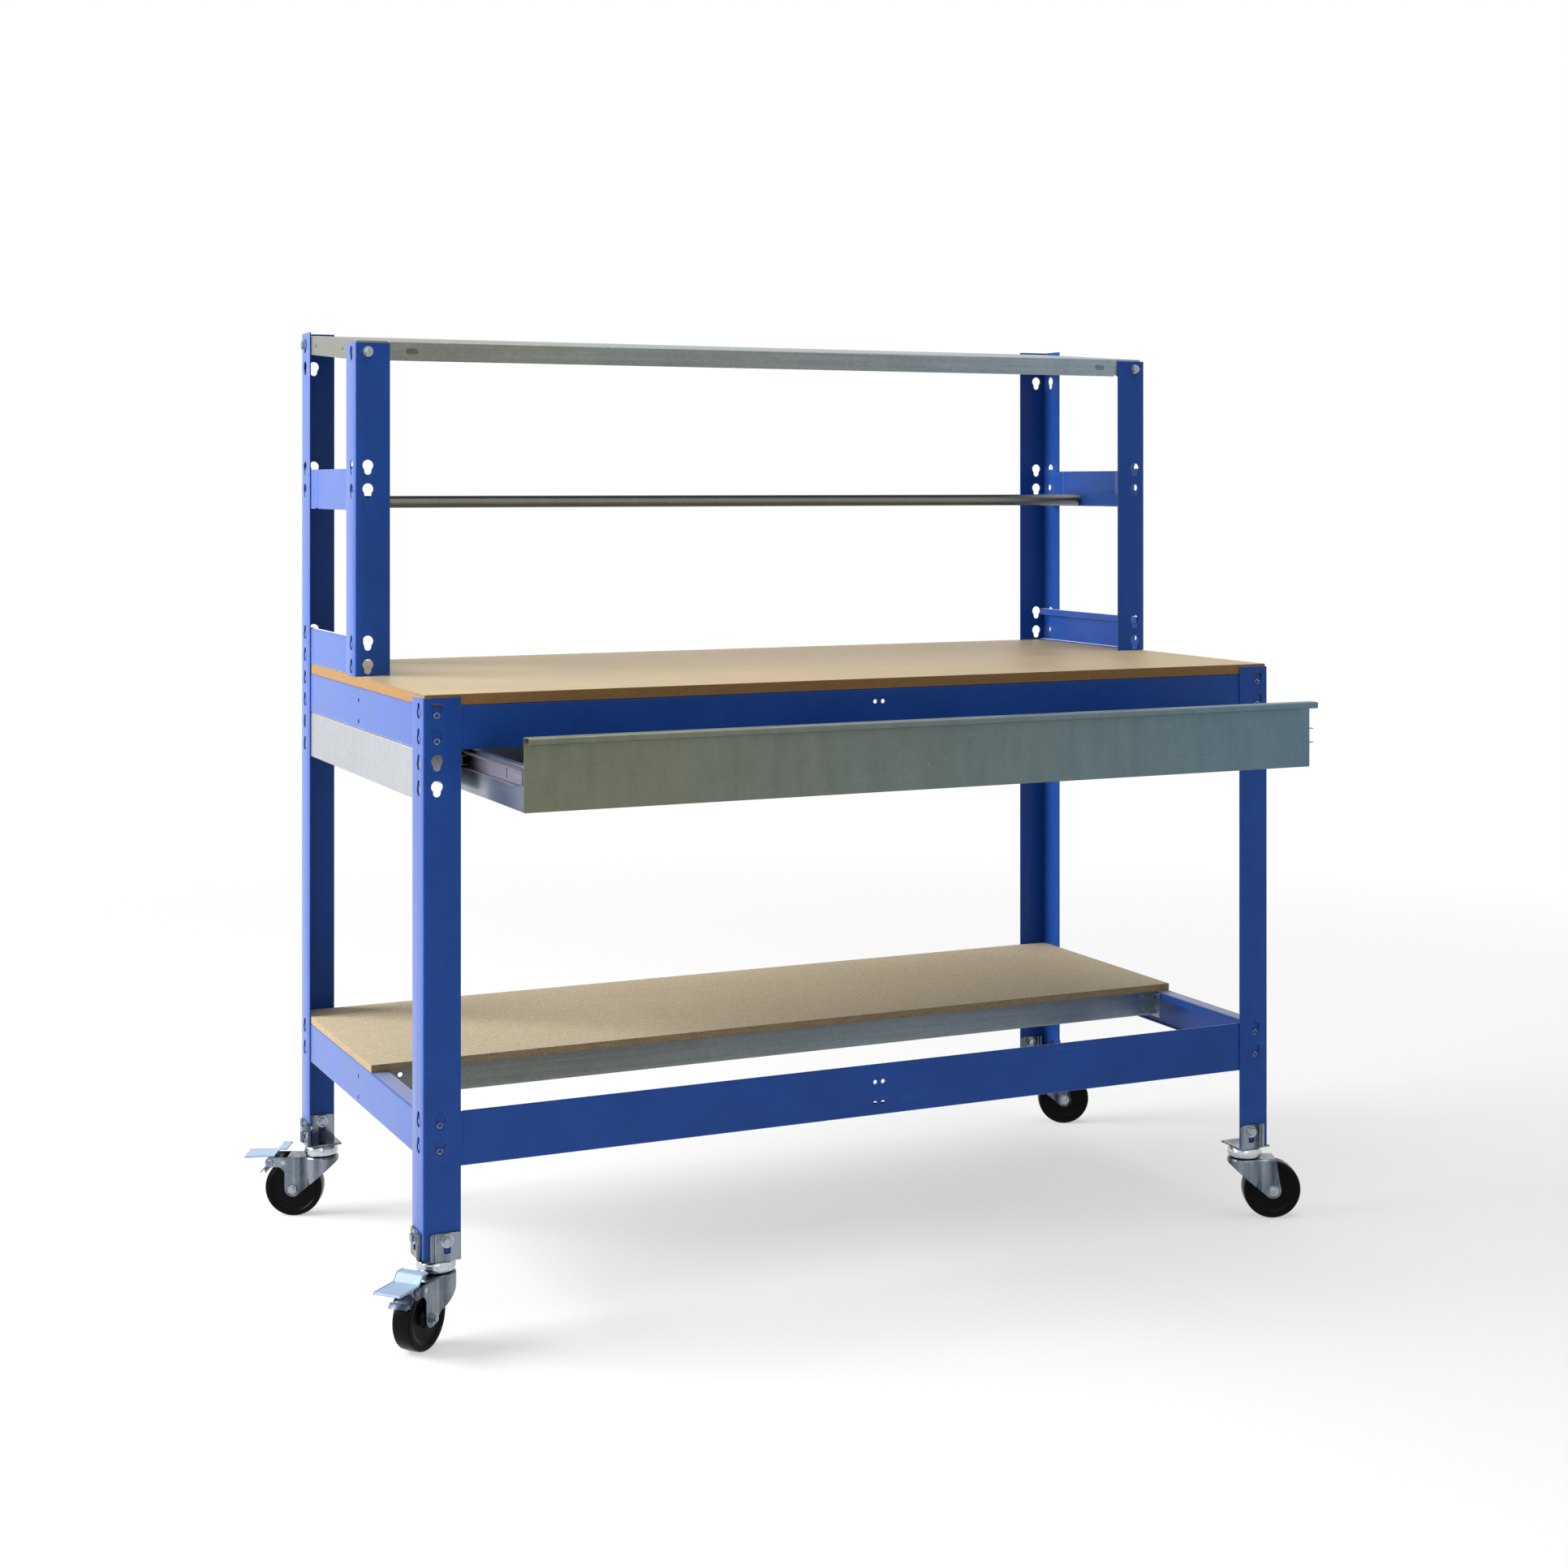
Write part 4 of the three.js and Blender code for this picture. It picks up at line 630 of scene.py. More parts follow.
def copyTree(name, sizes, draw):
    # one copy of what draw gives on every point, turned to the point's facing
    inputs = {"Geometry": "Geometry", **sizes, "Finish": "Material"}
    tree, given, result = newGroup("GeometryNodeTree", name, inputs, {"Geometry": "Geometry"})
    shapes = draw(tree, given)
    join = tree.nodes.new("GeometryNodeJoinGeometry")
    for shape in shapes:
        tree.links.new(shape, join.inputs["Geometry"])
    facings = addNode(tree, "GeometryNodeInputNamedAttribute", "Attribute", {"Name": "facing"},
                      data_type="FLOAT_VECTOR")
    turn = addNode(tree, "FunctionNodeAlignRotationToVector", "Rotation", {"Vector": facings}, axis="Z")
    copies = addNode(tree, "GeometryNodeInstanceOnPoints", "Instances",
                     {"Points": given["Geometry"], "Instance": join.outputs["Geometry"], "Rotation": turn})
    real = addNode(tree, "GeometryNodeRealizeInstances", "Geometry", {"Geometry": copies})
    painted = addNode(tree, "GeometryNodeSetMaterial", "Geometry",
                      {"Geometry": real, "Material": given["Finish"]})
    tree.links.new(painted, result["Geometry"])
    return tree


def drawRivet(tree, given):
    # a shank that ends on its point, with a low domed head over it
    head, dome = given["Head"], given["Dome"]
    return [
        rodNode(tree, 24, given["Shank"], given["Length"], scaled(tree, given["Length"], -0.5)),
        rodNode(tree, 28, head, scaled(tree, dome, 0.5), scaled(tree, dome, 0.25)),
        domeNode(tree, head, scaled(tree, dome, 0.6), scaled(tree, dome, 0.45)),
    ]


def drawBolt(tree, given):
    # a hex flange bolt: the point lies on the clamped face, and the nut is a grip behind it
    hexagon, height = given["Hex"], given["Height"]
    flange, middle = scaled(tree, height, 0.26), scaled(tree, height, 0.5)
    length = mathNode(tree, "ADD", mathNode(tree, "ADD", given["Grip"], height), given["Tail"])
    nutRise = scaled(tree, mathNode(tree, "ADD", given["Grip"], middle), -1.0)
    domeRise = mathNode(tree, "ADD", height, flange)
    return [
        rodNode(tree, 40, given["Washer"], flange, scaled(tree, flange, 0.5)),
        rodNode(tree, 6, hexagon, height, mathNode(tree, "ADD", middle, flange)),
        domeNode(tree, scaled(tree, hexagon, 0.86), scaled(tree, height, 0.14), domeRise),
        rodNode(tree, 24, given["Shank"], length, scaled(tree, length, -0.5)),
        rodNode(tree, 6, hexagon, height, nutRise),
    ]


def drawBall(tree, given):
    return [domeNode(tree, given["Ball"], given["Ball"], 0.0, 12, 8)]


rivetTree = copyTree("rivetCopies", {"Shank": 0.005, "Length": 0.002, "Head": 0.0066, "Dome": 0.001}, drawRivet)
boltTree = copyTree("boltCopies", {"Washer": 0.0086, "Hex": 0.0074, "Height": 0.0052, "Shank": 0.004,
                                   "Grip": 0.005, "Tail": 0.003}, drawBolt)
ballTree = copyTree("ballCopies", {"Ball": 0.0015}, drawBall)


def addCopies(target, spots, tree, finish, sizes, layer=0):
    # spots are places in metres with their directions; layer is the finish's number in the piece's list
    points = bpy.data.meshes.new("points")
    points.from_pydata([tuple(spot) for spot, _ in spots], [], [])
    directions = points.attributes.new("facing", "FLOAT_VECTOR", "POINT")
    for i, (_, direction) in enumerate(spots):
        directions.data[i].vector = direction
    holder = newObject("points", points)
    step = holder.modifiers.new("copies", "NODES")
    step.node_group = tree
    sockets = {item.name: item.identifier for item in tree.interface.items_tree if item.in_out == "INPUT"}
    for label, value in sizes.items():
        step[sockets[label]] = value * mm
    step[sockets["Finish"]] = finish
    mesh = evaluatedMesh(holder)
    part = bmesh.new()
    part.from_mesh(mesh)
    for side in part.faces:
        side.material_index = layer
    bpy.data.objects.remove(holder)
    bpy.data.meshes.remove(mesh)
    absorb(target, part, identity)


# Posts

post = {"flange": 58, "wall": 2, "bend": 3, "rim": 0.35, "footHole": (36, 27, 4.6)}
keyhole = {"round": 9, "slot": 12, "reach": 9.5, "pitch": 38.5, "frontInset": 21, "lowerInset": 26,
           "sideInset": 25, "drop": 5, "bolt": 5}
keyholeMiddle = (keyhole["round"] - keyhole["reach"] - keyhole["slot"] / 2) / 2
rollEarRise, rollRoundRise = 4, 5.5
rollRailTop = levelOf("roll_rail_left") - rollEarRise
upperRailTop = levelOf("upper_rail_left")
upperFoot, upperPostTop = levelOf("upper_post_left", 0), levelOf("upper_post_left")
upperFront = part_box("upper_post_left")[0].y
boltLevels = {}
for end in ("front", "rear"):
    low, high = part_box(f"shelf_bolt_{end}_left")
    boltLevels[end] = ((low + high).z / 2 - footHeight) / mm

# the level of the first round, how many keyholes, and whether those of the side flange stand the other way up
keyholeRows = {
    "worktop": (levelOf("worktop_beam_front") - keyhole["drop"], 4, True),
    "lower": (levelOf("lower_beam_left") - keyhole["drop"], 2, True),
    "upper": (upperRailTop - keyhole["drop"], 2, True),
    "roll": (rollRailTop + rollRoundRise, 2, False),
    "rearTop": (boltLevels["rear"] + 1, 2, False),
    "frontTop": (boltLevels["front"] + 1, 1, False),
}


def keyholeOutline(inset, level, inverted):
    half = keyhole["slot"] / 2
    shoulder = math.acos(half / keyhole["round"])
    upright = (arc(0, 0, keyhole["round"], -shoulder, math.pi + shoulder, 22)
               + arc(0, -keyhole["reach"], half, math.pi, math.tau, 12))
    base, flip = (level + 2 * keyholeMiddle, -1) if inverted else (level, 1)
    return [(inset + p.x, base + flip * p.y) for p in upright]


def addPost(node, place, low, rows, footHoles):
    target = bmesh.new()
    height, rim = levelOf(node) - low, post["rim"]
    holes = {"y": [], "x": []}
    for row in rows:
        top, count, inverted = keyholeRows[row]
        inset = keyhole["lowerInset" if row == "lower" else "frontInset"]
        for i in range(count):
            z = top - low - i * keyhole["pitch"]
            bolted = row == "frontTop"
            holes["y"].append(roundOutline(inset, z - 1, keyhole["bolt"]) if bolted
                              else keyholeOutline(inset, z, False))
            holes["x"].append(keyholeOutline(keyhole["sideInset"], z, inverted))
    for axis, outlines in holes.items():
        face = boxOutline(post["bend"], post["flange"], 0, height)
        addPlate(target, place, face, outlines + footHoles, 0, post["wall"], axis, rim)
    fold = arcs(post["bend"] - post["wall"] / 2, 8, (post["bend"], post["bend"], 2, 3))
    addSheet(target, place, fold, post["wall"], rim, height - rim, "z")
    dress(node, target, [bluePaint])


for corner in corners:
    front = corner.startswith("front")
    rows = ("worktop", "lower") if front else ("rearTop", "roll", "upper", "worktop", "lower")
    addPost(f"{'leg' if front else 'post'}_{corner}", inCorner(corner, footHeight), 0, rows,
            [roundOutline(*post["footHole"])])
for side in ("left", "right"):
    place = inCorner(f"front_{side}", footHeight + upperFoot * mm, upperFront)
    addPost(f"upper_post_{side}", place, upperFoot, ("frontTop", "roll", "upper"), [])
print("posts made")


# Beams and rails

beam = {"wall": 1.5, "seat": 2.3, "flange": 30, "lip": 12, "foot": 6, "return": 3, "bend": 2.2, "notch": 62,
        "end": 5.8, "frontRise": 3, "hole": 3.5, "holeRun": 14, "holeRise": 34, "holeDrop": 4.5,
        "notchClear": 0.05}
window = {"wide": 6, "small": 4.5, "rise": 1}
studFace = 1.27
studSizes = {"Shank": 4.7, "Length": studFace + 1, "Head": 4.9, "Dome": 0.5}
upperMiddleY = upperFront + (farCorner.y - upperFront) / 2
upperDepth = (farCorner.y - upperFront) / mm

beamPlaces = {
    "front": (middleX, nearCorner.y + beam["seat"] * mm, 0),
    "rear": (middleX, farCorner.y - beam["seat"] * mm, math.pi),
    "left": (nearCorner.x + beam["seat"] * mm, middleY, -quarterTurn),
    "right": (farCorner.x - beam["seat"] * mm, middleY, quarterTurn),
}


def endSpots(span, inset, level):
    return [(side * (span / 2 - inset), level - i * keyhole["pitch"]) for side in (-1, 1) for i in range(2)]


def windowOutlines(firstRound, inverted):
    # holes in an upper rail beside its studs
    rise = keyhole["reach"] + 2 * keyholeMiddle if inverted else window["rise"]
    radius = window["small" if inverted else "wide"]
    spots = endSpots(upperDepth, keyhole["sideInset"], firstRound + rise)
    return [roundOutline(a, b, radius) for a, b in spots]


def addStuds(target, place, span, inset, firstRound, inverted):
    depth = 2 * keyholeMiddle if inverted else -keyhole["reach"]
    spots = [(place @ Vector((a, -studFace, b)), facing(place, 0, -1, 0))
             for a, b in endSpots(span, inset, firstRound + depth)]
    addCopies(target, spots, rivetTree, bluePaint, studSizes)


def sectionLine(height, flange, lip, foot):
    half = beam["wall"] / 2
    return [(flange - half, -lip), (flange - half, -half), (half, -half), (half, half - height),
            (foot, half - height)]


def beamMesh(line, half, holes, *cuts):
    wall = beam["wall"]
    return punched(folded(line, wall, -half, half, "x", beam["bend"]), drills(holes, -1, wall + 1), *cuts)


def addBeam(node, side, inset, turnedOver=False):
    x, y, turn = beamPlaces[side]
    long = side in ("front", "rear")
    span = benchWidth if long else benchDepth
    _, high, (_, _, height) = sizeOf(node)
    place = at(x, y, high.z, turn)
    half = span / 2 - beam["end"]
    line = sectionLine(height, beam["flange"], beam["lip"], beam["return" if turnedOver else "foot"])
    firstRound = -keyhole["drop"]
    if turnedOver:
        line = [(a, -height - b) for a, b in line]
        firstRound -= beam["frontRise"]
    level = -height / 2 - beam["holeDrop"]
    holes = [roundOutline(column * beam["holeRun"] / 2, level + row * beam["holeRise"] / 2, beam["hole"])
             for column in ((-1, 1) if long else (0,)) for row in (-1, 1)]
    ends = [sorted((sign * (span / 2 - beam["notch"]), sign * (half + 1))) for sign in (-1, 1)]
    notches = [boxOutline(*reach, beam["wall"] + beam["notchClear"], beam["flange"] + 1) for reach in ends]
    cuts = [drills(notches, -height - 1, 1, "z")] if long else []
    target = bmesh.new()
    addMesh(target, beamMesh(line, half, holes, *cuts), place)
    addStuds(target, place, span, inset, firstRound, not long)
    dress(node, target, [bluePaint])


for side in beamPlaces:
    long = side in ("front", "rear")
    addBeam(f"worktop_beam_{side}", side, keyhole["frontInset" if long else "sideInset"])
    addBeam(f"lower_beam_{side}", side, keyhole["lowerInset" if long else "sideInset"], side == "front")

upperRail = {"height": 62, "flange": 12, "end": 4}
rollRail = {"height": 68, "joggle": 5, "bend": 5, "plate": 76, "run": 12, "trough": 27, "troughEnd": 36,
            "troughBend": 1.8, "lip": 23, "notch": 10.8, "notchRadius": 3, "ear": 50, "earLap": 10,
            "earRadius": 1.5, "lap": 0.5, "notchOver": 5}
railHalf = upperDepth / 2
railEnd = railHalf - upperRail["end"]


def upperRailMesh():
    flange = upperRail["flange"]
    line = sectionLine(upperRail["height"], flange, flange, flange)
    return beamMesh(line, railEnd, windowOutlines(-keyhole["drop"], True))


def rollRailMesh():
    # a web that steps in between its ends, with a trough along its foot that is open for the bar
    wall, height = beam["wall"], rollRail["height"]
    plate = railHalf - rollRail["plate"]
    main = plate - rollRail["run"]
    edge, inner = wall / 2, rollRail["joggle"] + wall / 2
    ear = railEnd - rollRail["ear"]
    tip = ear + rollRail["earLap"]
    far = rollRail["joggle"] + rollRail["trough"]
    floorLevel, lipTop = edge - height, rollRail["lip"] - height
    web = [(-tip, edge), (-plate, edge), (-main, inner), (main, inner), (plate, edge), (tip, edge)]
    steps = []
    for ends in ((-railEnd, -ear), (ear, railEnd)):
        outline = boxOutline(*ends, -height, rollEarRise, rollRail["earRadius"])
        steps.append(("UNION", barSolid(outline, 0, wall)))
    end = railHalf - rollRail["troughEnd"]
    lapped = main + rollRail["lap"]
    for start, a, b in ((inner, -lapped, lapped), (edge, main, end), (edge, -end, -main)):
        trough = [(start, floorLevel), (far - edge, floorLevel), (far - edge, lipTop)]
        steps.append(("UNION", solidOf(folded(trough, wall, a, b, "x", rollRail["troughBend"]))))
    gap, low, radius = rollRail["notch"], wall - height, rollRail["notchRadius"]
    sides = arcs(radius, 5, (-gap - radius, lipTop - radius, 1, 0), (radius - gap, low + radius, 2, 3),
                 (gap - radius, low + radius, -1, 0), (gap + radius, lipTop - radius, 2, 1))
    over = lipTop + rollRail["notchOver"]
    notch = [(-gap - radius, over), *sides, (gap + radius, over)]
    steps.append(("DIFFERENCE", barSolid(notch, far - wall - 1, far + 1)))
    for hole in windowOutlines(rollRoundRise, False)[1::2]:
        steps.append(("DIFFERENCE", barSolid(hole, -1, wall + 1)))
    return carved(solidOf(folded(web, wall, -height, 0, "z", rollRail["bend"])), steps)


railShapes = (("upper_rail", upperRailTop, upperRailMesh(), -keyhole["drop"], True),
              ("roll_rail", rollRailTop, rollRailMesh(), rollRoundRise, False))
for side in ("left", "right"):
    x, _, turn = beamPlaces[side]
    for name, top, shape, firstRound, inverted in railShapes:
        place = at(x, upperMiddleY, footHeight + top * mm, turn)
        target = bmesh.new()
        addMesh(target, shape, place)
        addStuds(target, place, upperDepth, keyhole["sideInset"], firstRound, inverted)
        dress(f"{name}_{side}", target, [bluePaint])

crossBeam = {"flange": 20, "foot": 12, "tab": 30, "tabRadius": 2, "tabSoft": 0.2, "hole": 4, "pitch": 24,
             "webHole": 22}
low, high, (width, _, height) = sizeOf("shelf_cross_beam")
place = at((low.x + high.x) / 2, low.y + crossBeam["tab"] * mm, high.z)
half, tab, wall = width / 2, crossBeam["tab"], beam["wall"]
levels = [-height / 2 + row * crossBeam["pitch"] / 2 for row in (-1, 1)]
columns = (crossBeam["webHole"] - half, half - crossBeam["webHole"])
webHoles = [roundOutline(a, level, crossBeam["hole"]) for a in columns for level in levels]
tabHoles = [roundOutline(-tab / 2, level, crossBeam["hole"]) for level in levels]
line = sectionLine(height, crossBeam["flange"], crossBeam["foot"], crossBeam["foot"])
target = bmesh.new()
addMesh(target, beamMesh(line, half, webHoles), place)
for start in (-half, half - wall):
    outline = boxOutline(-tab, 1, -height, -wall, crossBeam["tabRadius"])
    addPlate(target, place, outline, tabHoles, start, wall, "x", crossBeam["tabSoft"])
dress("shelf_cross_beam", target, [shelfZinc])
print("beams and rails made")


# Boards and the roll bar

def addBoard(node, face, edge, rounding):
    low, high, (width, depth, height) = sizeOf(node)
    target = bmesh.new()
    place = at((low.x + high.x) / 2, (low.y + high.y) / 2, low.z)
    addBar(target, place, boxOutline(-width / 2, width / 2, -depth / 2, depth / 2), 0, height, "z", rounding, 2)
    target.normal_update()
    flat = 0.7
    for side in target.faces:
        side.material_index = 0 if abs(side.normal.z) > flat else 1
    dress(node, target, [face, edge])


addBoard("worktop_board", hardboard, hardboardEdge, 0.6)
addBoard("lower_shelf_board", chipboard, chipboardEdge, 0.4)

rollBar = {"radius": 10.5, "bore": 8.5, "rim": 0.5}
low, high, (length, _, _) = sizeOf("roll_bar")
place = at(low.x, (low.y + high.y) / 2, (low.z + high.z) / 2)
radius, bore, rim = rollBar.values()
tube = [(bore, 0), (radius - rim, 0), (radius, rim), (radius, length - rim), (radius - rim, length),
        (bore, length)]
target = bmesh.new()
addRevolved(target, place, [*tube, tube[0]], 48, "x")
dress("roll_bar", target, [rollSteel], "roll_bar")
print("boards and roll bar made")


# Top shelf: a folded sheet on the slope of the two post tops

topShelf = {"sheet": 1.5, "flange": 32, "bend": 2.2, "mitre": 5, "inset": 56.5, "sideGap": 2.5, "shift": 2.5,
            "slit": 0.5, "boltDrop": 17.8, "boltHole": 5.5, "slotLength": 21, "slotWidth": 9.5, "slotInset": 96,
            "sideHole": 3, "sideHoleInset": 88, "proud": 3.3, "rearDrop": 3, "rim": 0.2, "sideEdge": 2,
            "sideTop": 3.4, "sideClear": 0.1, "lap": 0.01, "foldStart": 2.2, "foldEnd": 3.5, "foldBend": 1.2,
            "mitreTop": 3, "mitreLap": 0.4, "corner": 2}
frontTop = upperPostTop + topShelf["proud"]
rearTop = levelOf("post_rear_left") - topShelf["rearDrop"]
shelfRun = upperDepth - 2 * beam["seat"]
shelfTilt = math.atan2(rearTop - frontTop, shelfRun)
sine, cosine = math.sin(shelfTilt), math.cos(shelfTilt)
shelfDepth = (shelfRun - topShelf["flange"] * sine) / cosine
sheet, flange, shift, rim = (topShelf[key] for key in ("sheet", "flange", "shift", "rim"))
place = at(middleX - shift * mm, upperFront + beam["seat"] * mm, footHeight + frontTop * mm, 0, shelfTilt)
half = benchWidth / 2 - beam["seat"] - topShelf["sideGap"]
long = benchWidth / 2 - topShelf["inset"]
edge = sheet / 2


def shelfCuts(part):
    foot = -flange - 1
    for sign in (-1, 1):
        middle = sign * (benchWidth / 2 - topShelf["slotInset"]) + shift
        slot = slotOutline(middle, -flange / 2, topShelf["slotLength"], topShelf["slotWidth"])
        addBar(part, identity, slot, -1, sheet + 1, "y")
        outer, top = sign * (long + 1), -topShelf["mitreTop"]
        mitre = [(outer, top), (sign * (long - topShelf["mitreLap"]), top),
                 (sign * (long - topShelf["mitre"]), foot), (outer, foot)]
        addBar(part, identity, mitre, -1, shelfDepth + 1, "y")


run = upperDepth - beam["seat"] - keyhole["sideInset"]
rise = rearTop - topShelf["boltDrop"] - frontTop
rearBolt = (run * cosine + rise * sine, rise * cosine - run * sine)
sideHoles = [roundOutline(y, -flange / 2, topShelf["sideHole"], 16)
             for y in (topShelf["sideHoleInset"], shelfDepth - topShelf["sideHoleInset"])]
line = [(edge, -flange), (edge, -edge), (shelfDepth - edge, -edge), (shelfDepth - edge, -flange)]
target = bmesh.new()
addMesh(target, punched(folded(line, sheet, -long, long, "x", topShelf["bend"]), shelfCuts), place)
for sign in (-1, 1):
    ends = sorted((sign * (long - topShelf["lap"]), sign * (half - topShelf["sideEdge"])))
    clear = topShelf["sideClear"]
    addBar(target, place, boxOutline(*ends, clear, shelfDepth - clear), -sheet, 0, "z")
    bend = [(sign * (half - topShelf["foldStart"]), -edge), (sign * (half - edge), -edge),
            (sign * (half - edge), -topShelf["foldEnd"])]
    addSheet(target, place, bend, sheet, 0, shelfDepth, "y", topShelf["foldBend"])
    outline = boxOutline(0, shelfDepth, -flange, -topShelf["sideTop"])
    holes = [roundOutline(*rearBolt, topShelf["boltHole"]), *sideHoles]
    addPlate(target, place, outline, holes, min(sign * (half - sheet), sign * half), sheet, "x", rim)
    ends = sorted((sign * (long + topShelf["slit"]), sign * half))
    boltX = sign * (benchWidth / 2 - keyhole["frontInset"]) + shift
    boltHole = roundOutline(boltX, -topShelf["boltDrop"], topShelf["boltHole"])
    for start, holes in ((0, [boltHole]), (shelfDepth - sheet, [])):
        outline = boxOutline(*ends, -flange, -sheet, topShelf["corner"])
        addPlate(target, place, outline, holes, start, sheet, "y", rim)
dress("top_shelf", target, [shelfZinc])

boltSizes = {"Hex": 7.4, "Height": 5.2, "Shank": 4, "Tail": 3}
shelfBolt = {"washer": 8.6, "gap": 0.2, "frontGrip": 6, "leftGrip": 4.1, "rightGrip": 9.1}
gap = shelfBolt["gap"] * mm
shelfBoltNodes = [f"shelf_bolt_{end}_{side}" for end in ("front", "rear") for side in ("left", "right")]
target = bmesh.new()
for node in shelfBoltNodes:
    low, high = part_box(node)
    spot = (low + high) / 2
    if "front" in node:
        spot.y, outward, grip = upperFront - gap, (0, -1, 0), shelfBolt["frontGrip"]
    elif "left" in node:
        spot.x, outward, grip = nearCorner.x - gap, (-1, 0, 0), shelfBolt["leftGrip"]
    else:
        spot.x, outward, grip = farCorner.x + gap, (1, 0, 0), shelfBolt["rightGrip"]
    sizes = {"Grip": grip, "Washer": shelfBolt["washer"], **boltSizes}
    addCopies(target, [(spot, outward)], boltTree, boltZinc, sizes)
addPiece("shelf_bolts_dressed", target, [boltZinc], "frame", shelfBoltNodes, 28)
print("top shelf made")


# Drawer

drawer = {"sheet": 1.2, "bend": 1.8, "rim": 10, "reach": 23, "drop": 10.5, "return": 16, "fold": 2.9,
          "corner": 2, "lap": 7, "clear": 0.1, "wallRadius": 1, "frontSoft": 0.2, "wallSoft": 0.15}
sheet, lap, corner = drawer["sheet"], drawer["lap"], drawer["corner"]
edge = sheet / 2
low, high, (width, _, height) = sizeOf("drawer_front")
place = at((low.x + high.x) / 2, high.y - sheet * mm, low.z)
half = width / 2
target = bmesh.new()
lower = arcs(corner, 8, (corner - half, corner, 2, 3), (half - corner, corner, -1, 0))
addPlate(target, place, [*lower, (half, height - lap), (-half, height - lap)], [], 0, sheet, "y",
         drawer["frontSoft"])
face, foot = edge - drawer["reach"], height - drawer["drop"] + edge
pull = [(edge, height - lap), (edge, height - edge), (face, height - edge), (face, foot),
        (-drawer["return"], foot)]
addSheet(target, place, pull, sheet, -half, half, "x", drawer["fold"])
dress("drawer_front", target, [frontZinc], "drawer")

low, high, (width, depth, rim) = sizeOf("drawer_tray")
place = at((low.x + high.x) / 2, low.y, low.z)
half = width / 2
side, top = half - edge, rim - edge
trough = [(drawer["rim"] - half, top), (-side, top), (-side, edge), (side, edge), (side, top),
          (half - drawer["rim"], top)]
target = bmesh.new()
addSheet(target, place, trough, sheet, 0, depth, "y", drawer["bend"])
inner = half - sheet - drawer["clear"]
wall = boxOutline(-inner, inner, sheet + drawer["clear"], rim, drawer["wallRadius"])
for start in (0, depth - sheet):
    addPlate(target, place, wall, [], start, sheet, "y", drawer["wallSoft"])
dress("drawer_tray", target, [trayZinc], "drawer")

# painted highlight: thin strips of the palest zinc on the tray's front corners stand for the light caught where
# the sheet is bent
cornerHighlight = {"near": 0.2, "far": 8, "foot": 0.6, "drop": 1, "radius": 2, "depth": 0.25, "soft": 0.08}
target = bmesh.new()
for start in (-half - cornerHighlight["depth"], half):
    outline = boxOutline(cornerHighlight["near"], cornerHighlight["far"], cornerHighlight["foot"], rim - cornerHighlight["drop"], cornerHighlight["radius"])
    addPlate(target, place, outline, [], start, cornerHighlight["depth"], "x", cornerHighlight["soft"])
addPiece("drawer_corner_highlights_dressed", target, [headZinc], "drawer")

slide = {"wall": 1.2, "bend": 1.4, "slotInset": 65, "slotWidth": 3, "slotHeight": 14}
support = {"bend": 2.2, "skirt": 64, "notch": 20}
cage = {"sheet": 0.8, "edge": 0.2, "ball": 1.5, "pitch": 4.6}


def besideDrawer(node, flip, outer):
    # a mirrored place on the node's outer or inner face, and the node's reach, length and height
    low, high, sizes = sizeOf(node)
    return mirrored(low.x if (flip > 0) == outer else high.x, low.y, low.z, flip), *sizes


def addSlides(side, flip):
    wall, bend, slotStart = slide["wall"], slide["bend"], slide["slotInset"]
    edge, slotEnd = wall / 2, slotStart + slide["slotWidth"]
    place, reach, length, height = besideDrawer(f"drawer_channel_{side}", flip, False)
    lip = (height - slide["slotHeight"]) / 2
    upper, lower = [(-reach, height - edge), (-edge, height - edge)], [(-edge, edge), (-reach, edge)]
    target = bmesh.new()
    for line, start, end in (([*upper, *lower], 0, slotStart), ([*upper, *lower], slotEnd, length),
                             ([*upper, (-edge, height - lip)], slotStart, slotEnd),
                             ([(-edge, lip), *lower], slotStart, slotEnd)):
        addSheet(target, place, line, wall, start, end, "y", bend)
    dress(f"drawer_channel_{side}", target, [slideZinc], "drawer")

    place, reach, length, height = besideDrawer(f"cabinet_rail_{side}", flip, True)
    line = [(reach, height - edge), (edge, height - edge), (edge, edge), (reach, edge)]
    target = bmesh.new()
    addSheet(target, place, line, wall, 0, length, "y", bend)
    dress(f"cabinet_rail_{side}", target, [slideZinc])


def addSupport(side, flip):
    wall = slide["wall"]
    edge, notch = wall / 2, support["notch"]
    place, reach, length, height = besideDrawer(f"drawer_support_{side}", flip, True)
    line = [(edge, 0), (edge, height - edge), (reach - edge, height - edge),
            (reach - edge, height - support["skirt"])]

    def notches(part):
        for near, far in ((-1, notch), (length - notch, length + 1)):
            outline = boxOutline(wall + beam["notchClear"], reach + 1, -1, height + 1)
            addBar(part, identity, outline, near, far, "y")

    target = bmesh.new()
    addMesh(target, punched(folded(line, wall, 0, length, "y", support["bend"]), notches), place)
    dress(f"drawer_support_{side}", target, [sheetZinc])


